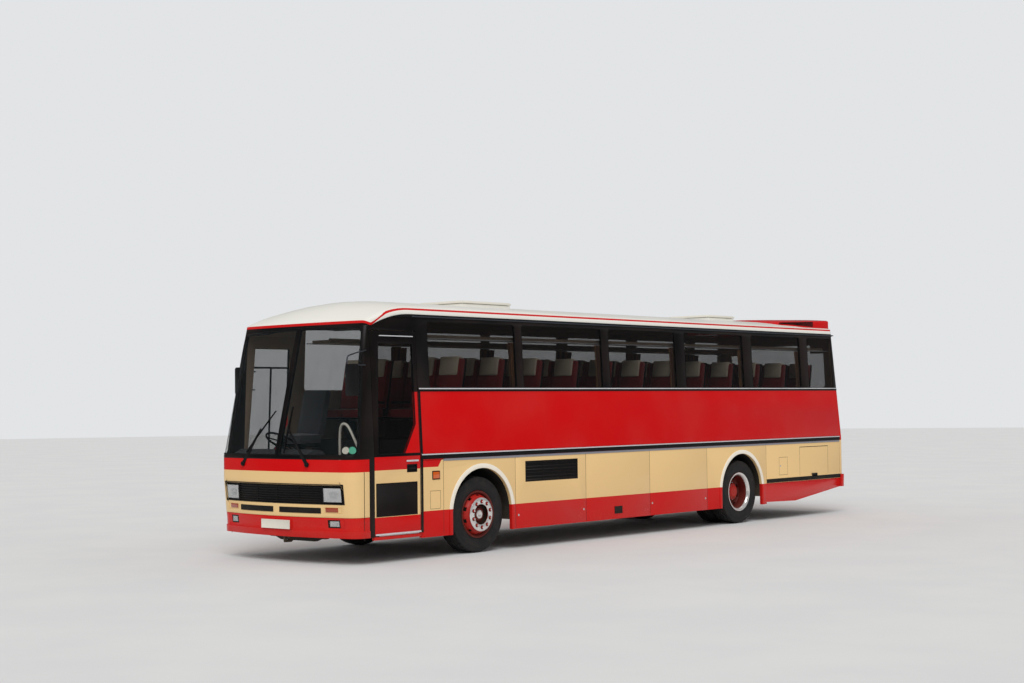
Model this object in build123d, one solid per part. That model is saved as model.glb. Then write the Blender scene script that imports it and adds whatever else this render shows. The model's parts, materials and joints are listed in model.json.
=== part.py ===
from build123d import *
import os
from math import cos, pi, sin

# Coach bus, right-hand drive, built as separate panels, glass, fittings and running gear.
# Frame: origin on the ground under the middle of the body, +X to the nearside (entry door),
# -Y to the front, +Z up. Lengths are in millimetres.

# Driving dimensions of the body
HALF_WIDTH = 1250.0
NOSE = -5900.0
TAIL = 5900.0
BELT = 1300.0            # height where the sides start to lean in
CANTRAIL = 3080.0        # height where sides meet the roof
CROWN = 3300.0           # top of the roof
WALL = 40.0              # whole thickness of a side wall, door or front panel
FLAP_WALL = 35.0         # whole thickness of a locker flap
SKIRT_BOTTOM = 270.0
GAP = 3.0                # half of the gap round a moving panel
FLAP_TOP = 1232.0
WAIST_BOTTOM = 1240.0
WAIST_TOP = 2105.0
WINDOW_BOTTOM = 2150.0
WINDOW_TOP = 3000.0
GLASS_DEPTH = 8.0        # how far the panes sit in from the outer skin
GLASS = 8.0              # pane thickness

# Stations along the length
MASK_END = -5495.0       # front mask and bumper end here, the door post begins
POST_END = -5410.0
DOOR_END = -4600.0
TAIL_START = 5752.0      # rear corner panel begins

# Running gear
FRONT_AXLE = -3480.0
REAR_AXLE = 2690.0
AXLE_HEIGHT = 500.0
TYRE_PLANE = 1060.0      # middle of the outer tyres
TWIN_PLANE = 740.0       # middle of the inner rear tyres
KINGPIN = 980.0
ARCH_RADIUS = 575.0
FRONT_ARCH = -3460.0
REAR_ARCH = 2680.0
ARCH_HEIGHT = 530.0

# Floors
FLOOR_TOP = 1180.0
FLOOR_UNDER = 1135.0
CAB_FLOOR = 960.0
LOCKER_FLOOR = 360.0
REAR_LOCKER_FLOOR = 700.0

# Plan outlines of the body: height, half width, nose, bow of the front, corner radius, tail
PLAN_ROWS = (
    (250.0, HALF_WIDTH, NOSE + 30, 80.0, 200.0, TAIL - 20),
    (600.0, HALF_WIDTH, NOSE, 80.0, 200.0, TAIL),
    (BELT, HALF_WIDTH, NOSE, 80.0, 200.0, TAIL),
    (3400.0, 1142.0, NOSE + 505, 38.0, 100.0, TAIL - 156),
)
TAIL_CORNER = 120.0
CORNER_CHORDS = 6        # flats round each corner of the plan outlines

# Roof: half width, width of the rounded knee at each side, and flats across crown and knee
ROOF_HALF = 1160.0
ROOF_KNEE = 120.0
ROOF_FOOT = 2600.0       # the roof's cross-sections reach down to this height
CROWN_CHORDS = 8
KNEE_CHORDS = 4

# Front dome of the roof: where its cross-sections stand, as shares of its length
DOME_START = -4500.0
DOME_END = -5600.0
DOME_SHARES = (0.0, 0.2, 0.36, 0.5, 0.62, 0.73, 0.83, 0.92, 1.0)
DOME_DROP = 385.0        # fall of the crown over the dome's length
SHOULDER_DROP = (105.0, 20.0)  # from the crown to the shoulder, at the dome's start and end
EAVE_DROP = (215.0, 35.0)      # from the crown to the eave, at the dome's start and end

# Side windows: first and last y
WINDOW_ROWS = (
    (-4390.0, -2690.0),
    (-2550.0, -800.0),
    (-635.0, 1020.0),
    (1260.0, 2880.0),
    (3130.0, 4620.0),
    (4860.0, 5640.0),
)

# Flaps on each side: name, first and last y, bottom height
FLAP_ROWS = (
    ("vent_flap", -2800.0, -1290.0, SKIRT_BOTTOM),
    ("locker_flap_front", -1290.0, 220.0, SKIRT_BOTTOM),
    ("locker_flap_mid", 220.0, 1710.0, SKIRT_BOTTOM),
    ("rear_flap", 3400.0, 5748.0, 665.0),
)

# Roof hatches, first and last y, and the rear air-conditioning pod
HATCH_ROWS = ((-2900.0, -1900.0), (3050.0, 3800.0))
HATCH_HALF = 400.0
HATCH_SEAT = 3322.0
POD_START = 4080.0
POD_END = 5620.0
POD_HALF = 620.0
POD_TOP = 3372.0

# Seats: pitch of the rows, first row, number of rows
SEAT_PITCH = 790.0
FIRST_SEAT = -3950.0
SEAT_ROWS = 12
SEAT_WIDTH = 435.0

# Curtains drawn back at the window pillars: first and last y
CURTAIN_ROWS = ((-2790.0, -2450.0), (-900.0, -540.0), (930.0, 1350.0), (2790.0, 3220.0), (4530.0, 4950.0))

# Entry steps: height, inner edge and outer edge
WELL_EDGE = 420.0
STEP_RISE = 180.0
STEP_ROWS = ((420.0, 930.0, 1200.0), (600.0, 675.0, 930.0), (780.0, 420.0, 675.0))

# Outlines of the wheels, as (offset from the wheel's middle, radius), turned in flats
FLATS = 32
TYRE_OUTLINE = (
    (-112, 291), (-113, 309), (-126, 322), (-140, 405), (-128, 470), (-112, 490), (0, 500),
    (112, 490), (128, 470), (140, 405), (126, 322), (113, 309), (112, 291),
)
RIM_FACE = ((-126, 306), (-114, 306), (-114, 290), (114, 290), (114, 306), (126, 306), (126, 278))
FRONT_DISC = (
    (76, 268), (92, 215), (108, 170), (108, 95), (150, 88), (160, 60), (160, 0),
    (96, 0), (96, 40), (14, 40), (14, 100), (90, 100), (94, 165), (78, 208), (60, 264),
    (-90, 264), (-126, 278),
)
REAR_DISC = (
    (90, 266), (-70, 262), (-96, 200), (-100, 140), (10, 128), (30, 100), (30, 0),
)
TWIN_DISC = (
    (-420, 0), (-420, 110), (-222, 110), (-222, 264), (-410, 264), (-446, 278), (-446, 306),
    (-434, 306), (-434, 290), (-206, 290), (-206, 306), (-194, 306), (-194, 278), (-206, 270),
    (-206, 110), (-122, 110), (-122, 262), (-126, 278),
)
HAND_WHEEL = 240.0       # outer radius of the steering wheel
HAND_WHEEL_RIM = 28.0    # width of its rim
EYE_RADIUS = 22.0

# Front fittings: first and last x, bottom and top
MASK_LEVELS = (580.0, 1282.0)
BUMPER_LEVELS = (330.0, 577.0)
LIP_TOP = 418.0          # the bumper's lower edge stands proud up to here
LIP = 12.0
GRILLE_HALF = 1100.0
GRILLE_LEVELS = (742.0, 972.0)
SLATS_HALF = 792.0
SLATS = 6
SLAT_HEIGHT = 16.0
LAMP_START = 796.0       # the headlamps begin here, beside the slats
SLOT_BOX = (60.0, 750.0, 630.0, 678.0)
INDICATOR_BOX = (800.0, 1060.0, 638.0, 702.0)
FOG_BOX = (840.0, 1080.0, 455.0, 552.0)
SCREEN_BOX = (34.0, 1088.0, 1336.0, 2862.0)
SCREEN_CORNER = 50.0
PLATE_HALF = 262.0

# Side fittings: first and last y, bottom and top
MARKER_BOX = (-4400.0, -4260.0, 990.0, 1100.0)
DOOR_PANEL_BOX = (-5385.0, -4665.0, 572.0, 982.0)
HANDLE_BOX = (-4850.0, -4670.0, 1100.0, 1200.0)
VENT_BOX = (-2590.0, -1475.0, 890.0, 1160.0)
LOUVRES = 6
WINDOW_CORNER = 45.0
TRIM_LEVELS = ((1252.0, 1320.0), (2112.0, 2150.0), (3036.0, 3072.0))

# Rear fittings: half width or first and last x, bottom and top
REAR_WINDOW = (960.0, 2150.0, 2900.0)
REAR_LAMP_BOX = (985.0, 1160.0, 800.0, 1150.0)
BOOT_HALF = 945.0
BOOT_BOTTOM = 668.0
REAR_BUMPER_LEVELS = (450.0, 659.0)

os.makedirs("parts", exist_ok=True)


def emit(name, *shapes):
    """Write one node, made of one or more solids that do not touch."""
    solids = [solid for shape in shapes for solid in shape.solids()]
    export_step(Compound(label=name, children=solids), f"parts/{name}.step")


def block(x0, x1, y0, y1, z0, z1):
    """Return a box between two corners."""
    box = Box(x1 - x0, y1 - y0, z1 - z0)
    return Pos((x0 + x1) / 2, (y0 + y1) / 2, (z0 + z1) / 2) * box


def prism_x(outline, x0, x1):
    """Return a prism along X from a closed outline of (y, z) points."""
    face = make_face(Polyline(*outline, close=True))
    return extrude(Plane.YZ.offset(x0) * face, amount=x1 - x0)


def prism_y(outline, y0, y1):
    """Return a prism along Y from a closed outline of (x, z) points."""
    face = make_face(Polyline(*outline, close=True))
    return extrude(Plane.XZ.offset(-y1) * face, amount=y1 - y0)


def prism_z(outline, z0, z1):
    """Return a prism along Z from a closed outline of (x, y) points."""
    face = make_face(Polyline(*outline, close=True))
    return extrude(Pos(0, 0, z0) * face, amount=z1 - z0)


def rod_x(radius, x0, x1, y, z):
    """Return a cylinder along X."""
    return Pos((x0 + x1) / 2, y, z) * Rot(0, 90, 0) * Cylinder(radius, x1 - x0)


def rod_z(radius, z0, z1, x, y):
    """Return a cylinder along Z."""
    return Pos(x, y, (z0 + z1) / 2) * Cylinder(radius, z1 - z0)


def mirrored(shape):
    """Return the same shape on the other side of the coach."""
    return mirror(shape, about=Plane.YZ)


def both_sides(shape):
    """Return a shape with its mirror image."""
    return [shape, mirrored(shape)]


def corner_points(x, y, radius, quarter):
    """Return points on a quarter circle about (x, y), from this many quarter turns on."""
    turns = [(quarter + step / CORNER_CHORDS) * pi / 2 for step in range(CORNER_CHORDS + 1)]
    return [(x + radius * cos(turn), y + radius * sin(turn)) for turn in turns]


def plan_face(row, inset):
    """Return the plan outline of the body at one height, inset by a wall."""
    z, half, nose, bow, corner, tail = row
    half = half - inset
    nose = nose + inset
    tail = tail - inset
    corner = corner - inset / 2
    rear = TAIL_CORNER - inset / 2
    knee = half - corner
    front = nose + bow
    outline = Polyline(
        *corner_points(knee, front + corner, corner, -1),
        *corner_points(half - rear, tail - rear, rear, 0),
        *corner_points(rear - half, tail - rear, rear, 1),
        *corner_points(-knee, front + corner, corner, 2),
    )
    bowed = ThreePointArc((-knee, front), (0, nose), (knee, front))
    return Pos(0, 0, z) * make_face([*outline.edges(), bowed])


def body_volume(inset):
    """Return the space inside the body's sides, front and back, set in by a wall."""
    return loft([plan_face(row, inset) for row in PLAN_ROWS], ruled=True)


def between(pair, share):
    """Return the value at a share of the way between two values."""
    return pair[0] + (pair[1] - pair[0]) * share


def roof_face(share, inset):
    """Return one cross-section of the roof, set in by a wall, at a share of the dome's length."""
    top = CROWN - DOME_DROP * share**2.25 - inset
    shoulder = top - between(SHOULDER_DROP, share**2)
    eave = top - between(EAVE_DROP, share**1.5)
    half = ROOF_HALF - inset
    knee = half - ROOF_KNEE
    # the knee bends from the crown's slope to upright, round this point
    turn = shoulder - 2 * (top - shoulder) * ROOF_KNEE / knee
    crown = []
    for step in range(1, CROWN_CHORDS):
        across = 2 * step / CROWN_CHORDS - 1
        crown.append((knee * across, top - (top - shoulder) * across**2))
    bend = []
    for step in range(KNEE_CHORDS + 1):
        way = step / KNEE_CHORDS
        x = knee + ROOF_KNEE * (1 - (1 - way) ** 2)
        z = shoulder * (1 - way) ** 2 + turn * 2 * way * (1 - way) + eave * way**2
        bend.append((x, z))
    right = [*bend, (half, ROOF_FOOT)]
    left = [(-x, z) for x, z in reversed(right)]
    y = between((DOME_START, DOME_END), share)
    return Plane.XZ.offset(-y) * make_face(Polyline(*left, *crown, *right, close=True))


def roof_volume(inset):
    """Return the space under the roof: a straight run and the front dome."""
    straight = extrude(roof_face(0, inset), amount=-(TAIL + 200 - DOME_START))
    dome = loft([roof_face(share, inset) for share in DOME_SHARES], ruled=True)
    return straight + dome


def shell(outer, inner):
    """Return the body's wall between two insets."""
    return volume(outer) - volume(inner)


VOLUMES = {}


def volume(inset):
    """Return the body volume at an inset, made once for each inset."""
    if inset not in VOLUMES:
        VOLUMES[inset] = body_volume(inset)
    return VOLUMES[inset]


SKIN = shell(0, WALL)
FLAP_SKIN = shell(0, FLAP_WALL)
PANE = shell(GLASS_DEPTH, GLASS_DEPTH + GLASS)
TRIM = shell(-10, 0)

# The roof begins above this line, which sweeps down beside the front door
ROOF_ZONE = extrude(
    Plane.YZ.offset(-1400)
    * make_face(
        [
            Line((6100, CANTRAIL), (-4700, CANTRAIL)),
            ThreePointArc((-4700, CANTRAIL), (-5060, 3032), (-5360, 2923)),
            Line((-5360, 2923), (-6100, 2923)),
            Line((-6100, 2923), (-6100, 3600)),
            Line((-6100, 3600), (6100, 3600)),
            Line((6100, 3600), (6100, CANTRAIL)),
        ]
    ),
    amount=2800,
)


def side(shape, y0, y1, z0, z1, low_x=700.0):
    """Cut a nearside piece out of a wall between two stations and two heights."""
    return shape & block(low_x, 1400, y0, y1, z0, z1)


# Side glass outlines as seen from the side
CAB_GLASS = [(-5345, 1335), (-4880, 1335), (-4670, 1700), (-4670, 2705), (-5265, 2705)]


def window_cutters():
    """Return the nearside window openings as prisms along X."""
    cutters = []
    for y0, y1 in WINDOW_ROWS:
        opening = block(900, 1400, y0, y1, WINDOW_BOTTOM, WINDOW_TOP)
        cutters.append(fillet(opening.edges().filter_by(Axis.X), WINDOW_CORNER))
    return cutters


def front_box(box, y0=-6000, y1=-5700):
    """Return a block on the nearside of the front, from its first and last x, bottom and top."""
    return block(box[0], box[1], y0, y1, box[2], box[3])


def front_panels():
    """Front mask, bumper, grille, lamps, windscreen frame and windscreen."""
    mask = SKIN & block(-1400, 1400, -6100, MASK_END, *MASK_LEVELS)
    mask -= block(-GRILLE_HALF, GRILLE_HALF, -6000, -5740, *GRILLE_LEVELS)
    slots = shell(-5, 22) & front_box(SLOT_BOX)
    mask = mask - slots - mirrored(slots)
    indicator_hole = front_box(INDICATOR_BOX)
    mask = mask - indicator_hole - mirrored(indicator_hole)

    bumper = SKIN & block(-1400, 1400, -6100, MASK_END, *BUMPER_LEVELS)
    bumper += shell(-LIP, 0) & block(-1400, 1400, -6100, MASK_END, BUMPER_LEVELS[0], LIP_TOP)
    fog_hole = front_box(FOG_BOX)
    bumper = bumper - fog_hole - mirrored(fog_hole)
    bumper += block(-PLATE_HALF, PLATE_HALF, NOSE - 15, NOSE + 25, 422, 538)

    grille = shell(26, WALL) & block(-SLATS_HALF, SLATS_HALF, -6000, -5700, *GRILLE_LEVELS)
    slat = shell(4, 30)
    pitch = (GRILLE_LEVELS[1] - GRILLE_LEVELS[0]) / SLATS
    for index in range(SLATS):
        z = GRILLE_LEVELS[0] + (index + 0.5) * pitch - SLAT_HEIGHT / 2
        grille += slat & block(-SLATS_HALF, SLATS_HALF, -6000, -5700, z, z + SLAT_HEIGHT)
    headlamp = shell(3, WALL) & front_box((LAMP_START, GRILLE_HALF, *GRILLE_LEVELS), y1=-5740)
    indicator = SKIN & indicator_hole
    fog = SKIN & fog_hole
    marker_hole = block(1200, 1300, *MARKER_BOX)
    marker = shell(-6, WALL) & marker_hole
    signals = [indicator, fog, marker]

    frame = (SKIN & block(-1400, 1400, -6100, POST_END, MASK_LEVELS[1] + 3, 3400)) - ROOF_ZONE
    frame += SKIN & block(-1400, 1400, MASK_END + 2, POST_END, BUMPER_LEVELS[0], MASK_LEVELS[1] + 3)
    pane_outline = fillet(
        front_box(SCREEN_BOX, -6100, -5200).edges().filter_by(Axis.Y), SCREEN_CORNER
    )
    frame = frame - pane_outline - mirrored(pane_outline)
    screen = PANE & pane_outline

    emit("front_mask", mask)
    emit("front_bumper", bumper)
    emit("front_grille", grille)
    emit("headlamps", *both_sides(headlamp))
    emit("signal_lamps", *[piece for lamp in signals for piece in both_sides(lamp)])
    emit("windscreen_frame", frame)
    emit("windscreen", *both_sides(screen))
    return marker_hole


def arch_cutter(y):
    """Return the wheel arch opening: a round top with straight sides down."""
    top = rod_x(ARCH_RADIUS, 400, 1400, y, ARCH_HEIGHT)
    legs = block(400, 1400, y - ARCH_RADIUS, y + ARCH_RADIUS, 100, ARCH_HEIGHT)
    return top + legs


def arch_flare(y):
    """Return the raised lip round a wheel arch."""
    reach = ARCH_RADIUS + 60
    ring = rod_x(reach, 1230, 1262, y, ARCH_HEIGHT)
    ring -= block(1200, 1300, y - reach, y + reach, ARCH_HEIGHT - reach, ARCH_HEIGHT)
    legs = block(1230, 1262, y - reach, y + reach, SKIRT_BOTTOM, ARCH_HEIGHT)
    return ring + legs - arch_cutter(y)


def side_panels(marker_hole):
    """Skirts, waist panels, window frames, side glass and trims."""
    front_skirt = side(SKIN, DOOR_END - 2, -2802, SKIRT_BOTTOM, 1237)
    front_skirt += arch_flare(FRONT_ARCH)
    front_skirt = front_skirt - arch_cutter(FRONT_ARCH) - marker_hole
    rear_skirt = side(SKIN, 1712, 3398, SKIRT_BOTTOM, 1237)
    rear_skirt += arch_flare(REAR_ARCH)
    rear_skirt -= arch_cutter(REAR_ARCH)
    valance_zone = prism_x(
        [(3398, 300), (4280, 280), (TAIL_START, 452), (TAIL_START, 660), (3398, 660)], 900, 1400
    )
    rear_skirt += SKIN & valance_zone

    waist = side(SKIN, DOOR_END - 2, TAIL_START, WAIST_BOTTOM, WAIST_TOP)

    frame = side(SKIN, DOOR_END - 2, TAIL_START, WAIST_TOP, 3400) - ROOF_ZONE
    frame += side(SKIN, POST_END, DOOR_END - 2, 2868, 3400) - ROOF_ZONE
    panes = []
    for cutter in window_cutters():
        frame -= cutter
        panes.append(PANE & cutter)

    waist_levels, sill_levels, gutter_levels = TRIM_LEVELS
    lower = side(TRIM, DOOR_END, TAIL_START, *waist_levels)
    sill = side(TRIM, DOOR_END, TAIL_START, *sill_levels)
    gutter = side(TRIM, POST_END, TAIL_START, *gutter_levels) - ROOF_ZONE

    emit("skirt_panels", *both_sides(front_skirt), *both_sides(rear_skirt))
    emit("waist_panels", *both_sides(waist))
    emit("window_frames", *both_sides(frame))
    trims = [lower, sill, gutter]
    emit("side_trims", *[piece for trim in trims for piece in both_sides(trim)])

    cab_glass = prism_x(CAB_GLASS, 900, 1400)
    door = side(SKIN, POST_END + 5, DOOR_END - 7, 345, 2861) - cab_glass
    door -= side(shell(-5, 6), *DOOR_PANEL_BOX)
    door -= side(shell(-5, 22), *HANDLE_BOX)
    emit("entry_door", door)
    emit("entry_door_glass", PANE & cab_glass)
    cab_side = mirrored(side(SKIN, POST_END, DOOR_END - 2, 345, 2868) - cab_glass)
    emit("cab_side", cab_side)
    driver_glass = mirrored(PANE & cab_glass)
    emit("side_glass", *[piece for pane in panes for piece in both_sides(pane)], driver_glass)


def flaps():
    """Locker and engine flaps, four on each side, hinged under the waist trim."""
    for name, y0, y1, z0 in FLAP_ROWS:
        flap = side(FLAP_SKIN, y0 + GAP, y1 - GAP, z0, FLAP_TOP)
        if name == "vent_flap":
            start, end, low, high = VENT_BOX
            flap -= block(HALF_WIDTH - 12, 1300, *VENT_BOX)
            for index in range(LOUVRES):
                z = low + (index + 0.35) * (high - low) / LOUVRES
                flap += block(HALF_WIDTH - 20, HALF_WIDTH - 4, start, end, z, z + 20)
        if name == "rear_flap":
            flap += block(1240, 1262, y0 + GAP, y1 - GAP, z0, z0 + 22)
        emit(name + "_left", flap)
        emit(name + "_right", mirrored(flap))


def roof_panels():
    """Roof with its front dome, the air-conditioning pod and two hatches."""
    outer = roof_volume(0) & volume(0) & ROOF_ZONE
    roof = outer - (roof_volume(WALL) & volume(WALL))
    for y0, y1 in HATCH_ROWS:
        roof += block(-HATCH_HALF, HATCH_HALF, y0, y1, CROWN - 45, HATCH_SEAT)
        roof -= block(-HATCH_HALF + 30, HATCH_HALF - 30, y0 + 30, y1 - 30, 3200, 3400)
    emit("roof", roof)
    for name, (y0, y1) in zip(("front_hatch", "rear_hatch"), HATCH_ROWS):
        reach = HATCH_HALF + 12
        under = HATCH_SEAT + 6
        lid = block(-reach, reach, y0 - 12, y1 + 12, under, under + 36)
        lid = chamfer(lid.edges().filter_by(lambda edge: edge.center().Z > under + 35), 20)
        lid += block(-120, 120, y1 + 12, y1 + 30, under, under + 20)
        emit(name, lid)
    outline = [
        (POD_START, 3240), (POD_START + 260, POD_TOP), (POD_END - 90, POD_TOP), (POD_END, 3300), (POD_END, 3240),
    ]
    pod = prism_x(outline, -POD_HALF, POD_HALF)
    pod = fillet(pod.edges().filter_by(lambda edge: abs(edge.center().X) > POD_HALF - 1), 25)
    pod -= roof_volume(-0.5)
    for index in range(5):
        y = POD_START + 420 + index * 110
        pod -= block(-POD_HALF + 90, POD_HALF - 90, y, y + 60, POD_TOP - 20, POD_TOP + 20)
    emit("aircon_pod", pod)


def rear_panels():
    """Rear wall, window, boot lid, bumper and lamps."""
    zone = block(-1400, 1400, TAIL_START, 6100, 662, 3400)
    wall = (SKIN & zone) - ROOF_ZONE
    half, low, high = REAR_WINDOW
    window = fillet(block(-half, half, 5500, 6100, low, high).edges().filter_by(Axis.Y), 80)
    wall -= window
    wall -= block(-BOOT_HALF - 5, BOOT_HALF + 5, 5500, 6100, BOOT_BOTTOM - 6, FLAP_TOP + 5)
    start, end, low, high = REAR_LAMP_BOX
    lamp_hole = block(start, end, 5500, 6100, low, high)
    wall = wall - lamp_hole - mirrored(lamp_hole)
    lamp = SKIN & lamp_hole
    lid = FLAP_SKIN & block(-BOOT_HALF, BOOT_HALF, 5500, 6100, BOOT_BOTTOM, FLAP_TOP)
    bumper = shell(-30, WALL) & block(-1400, 1400, TAIL_START, 6100, *REAR_BUMPER_LEVELS)
    bumper += block(-PLATE_HALF, PLATE_HALF, TAIL - 10, TAIL + 30, 500, 616)
    emit("rear_wall", wall)
    emit("rear_window", PANE & window)
    emit("rear_lamps", *both_sides(lamp))
    emit("boot_lid", lid)
    emit("rear_bumper", bumper)


def seat(x, y, width):
    """Return one seat with its base: cushion, leaning back and head rest as one solid."""
    outline = [
        (y - 230, 1600), (y - 230, 1475), (y + 150, 1455), (y + 205, 1500),
        (y + 330, 2140), (y + 235, 2160), (y + 130, 1615),
    ]
    return prism_x(outline, x - width / 2, x + width / 2)


def interior():
    """Seats, driver's place, dashboard, steering wheel, racks and curtains."""
    seats = []
    for row in range(SEAT_ROWS):
        y = FIRST_SEAT + row * SEAT_PITCH
        pair = seat(460, y, SEAT_WIDTH) + seat(460 + SEAT_WIDTH + 8, y, SEAT_WIDTH)
        pair += block(440, 925, y - 60, y + 60, 1420, 1470)
        pair += block(690, 770, y - 120, y + 120, FLOOR_TOP, 1475)
        seats += both_sides(pair)
    emit("seats", *seats)

    driver = prism_x(
        [(-5070, 1560), (-5070, 1440), (-4640, 1440), (-4480, 2190), (-4570, 2205), (-4700, 1560)],
        -960,
        -500,
    )
    driver += block(-790, -670, -4950, -4780, CAB_FLOOR, 1445)
    emit("driver_seat", driver)

    dash = prism_x(
        [(-5640, 990), (-5400, 990), (-5340, 1290), (-5400, 1370), (-5560, 1395), (-5700, 1330)],
        -1090,
        330,
    )
    wheel = Cylinder(HAND_WHEEL, HAND_WHEEL_RIM) - Cylinder(HAND_WHEEL - HAND_WHEEL_RIM, HAND_WHEEL_RIM)
    wheel += Cylinder(55, 40)
    for angle in (90, 210, 330):
        wheel += Rot(0, 0, angle) * Pos(120, 0, 0) * Box(230, 32, 12)
    wheel += Pos(0, 0, -210) * Cylinder(28, 400)
    wheel = Pos(-730, -5165, 1475) * Rot(-32, 0, 0) * wheel
    emit("steering_wheel", wheel)
    emit("dashboard", (dash & volume(WALL + 10)) - wheel)

    rack = prism_x([(-4300, 2790), (5500, 2790), (5500, 2830), (-4300, 2830)], 760, 1095)
    rack += block(742, 768, -4300, 5500, 2790, 2850)
    emit("luggage_racks", *both_sides(rack))

    curtains = []
    for y0, y1 in CURTAIN_ROWS:
        curtain = prism_y([(1126, 2130), (1154, 2130), (1120, 2770), (1092, 2770)], y0, y1)
        curtains += both_sides(curtain)
    emit("curtains", *curtains)


def floors():
    """Saloon floor with cab floor and entry steps, locker floors and cross walls."""
    floor = block(-1205, 1205, -4500, 5700, FLOOR_UNDER, FLOOR_TOP)
    floor += prism_z(
        [(-1205, -4500), (-1205, -5590), (-1090, -5690), (WELL_EDGE, -5690), (WELL_EDGE, -4500)],
        CAB_FLOOR - 40,
        CAB_FLOOR,
    )
    floor += block(-1205, WELL_EDGE, -4500, -4460, CAB_FLOOR - 40, FLOOR_TOP)
    for z, x0, x1 in STEP_ROWS:
        floor += block(x0 - 30, x1, -5385, -4625, z - 30, z)
        floor += block(x0 - 30, x0, -5385, -4625, z, z + STEP_RISE)
    for y in (-5415, -4625):
        floor += block(WELL_EDGE - 30, 1205, y, y + 30, 390, CAB_FLOOR)
    floor += block(WELL_EDGE, 1205, -4625, -4500, FLOOR_UNDER, FLOOR_TOP)
    floor += block(WELL_EDGE, 1205, -4625, -4595, CAB_FLOOR, FLOOR_TOP)
    emit("saloon_floor", floor)

    walls = block(-1205, 1205, -1330, -1295, 300, FLOOR_UNDER)
    walls += block(-1205, 1205, 1715, 1750, 300, FLOOR_UNDER)
    walls += block(-1205, 1205, -1330, 1750, LOCKER_FLOOR - 30, LOCKER_FLOOR)
    walls += block(-150, 150, -1330, 1750, LOCKER_FLOOR, 800)
    emit("luggage_bay", walls)
    rear = block(-1205, 1205, 3365, 3395, 645, FLOOR_UNDER)
    rear += block(-1205, 1205, 3395, 5715, REAR_LOCKER_FLOOR - 30, REAR_LOCKER_FLOOR)
    rear &= volume(FLAP_WALL + 6)
    emit("rear_locker", rear)


def arch_liner(y):
    """Return a liner over a wheel: half a tube under the floor."""
    outer = rod_x(ARCH_RADIUS + 14, 560, 1206, y, ARCH_HEIGHT)
    outer += block(560, 1206, y - ARCH_RADIUS - 14, y + ARCH_RADIUS + 14, 400, ARCH_HEIGHT)
    outer -= block(500, 1300, y - 900, y + 900, -200, 400)
    return outer - arch_cutter(y)


def chassis():
    """Chassis frame: two side rails over each axle, with cross members."""
    front = [
        (-5560, 420), (-4200, 420), (-4050, 690), (-2960, 690), (-2800, 420), (-1336, 420),
        (-1336, 600), (-2740, 600), (-2880, 870), (-4130, 870), (-4280, 600), (-5560, 600),
    ]
    rear = [
        (1756, 420), (1880, 420), (2060, 690), (3300, 690), (3358, 480), (5600, 480),
        (5600, 640), (3360, 640), (3358, 870), (1980, 870), (1800, 600), (1756, 600),
    ]
    frame = Part()
    for x in (-385, 325):
        frame += prism_x(front, x, x + 60)
        frame += prism_x(rear, x, x + 60)
    for y in (-5540, -4500, -1396):
        frame += block(-325, 325, y, y + 60, 450, 570)
    for y in (1756, 3420, 4500, 5540):
        frame += block(-325, 325, y, y + 60, 490, 590)
    emit("chassis_frame", frame)


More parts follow.
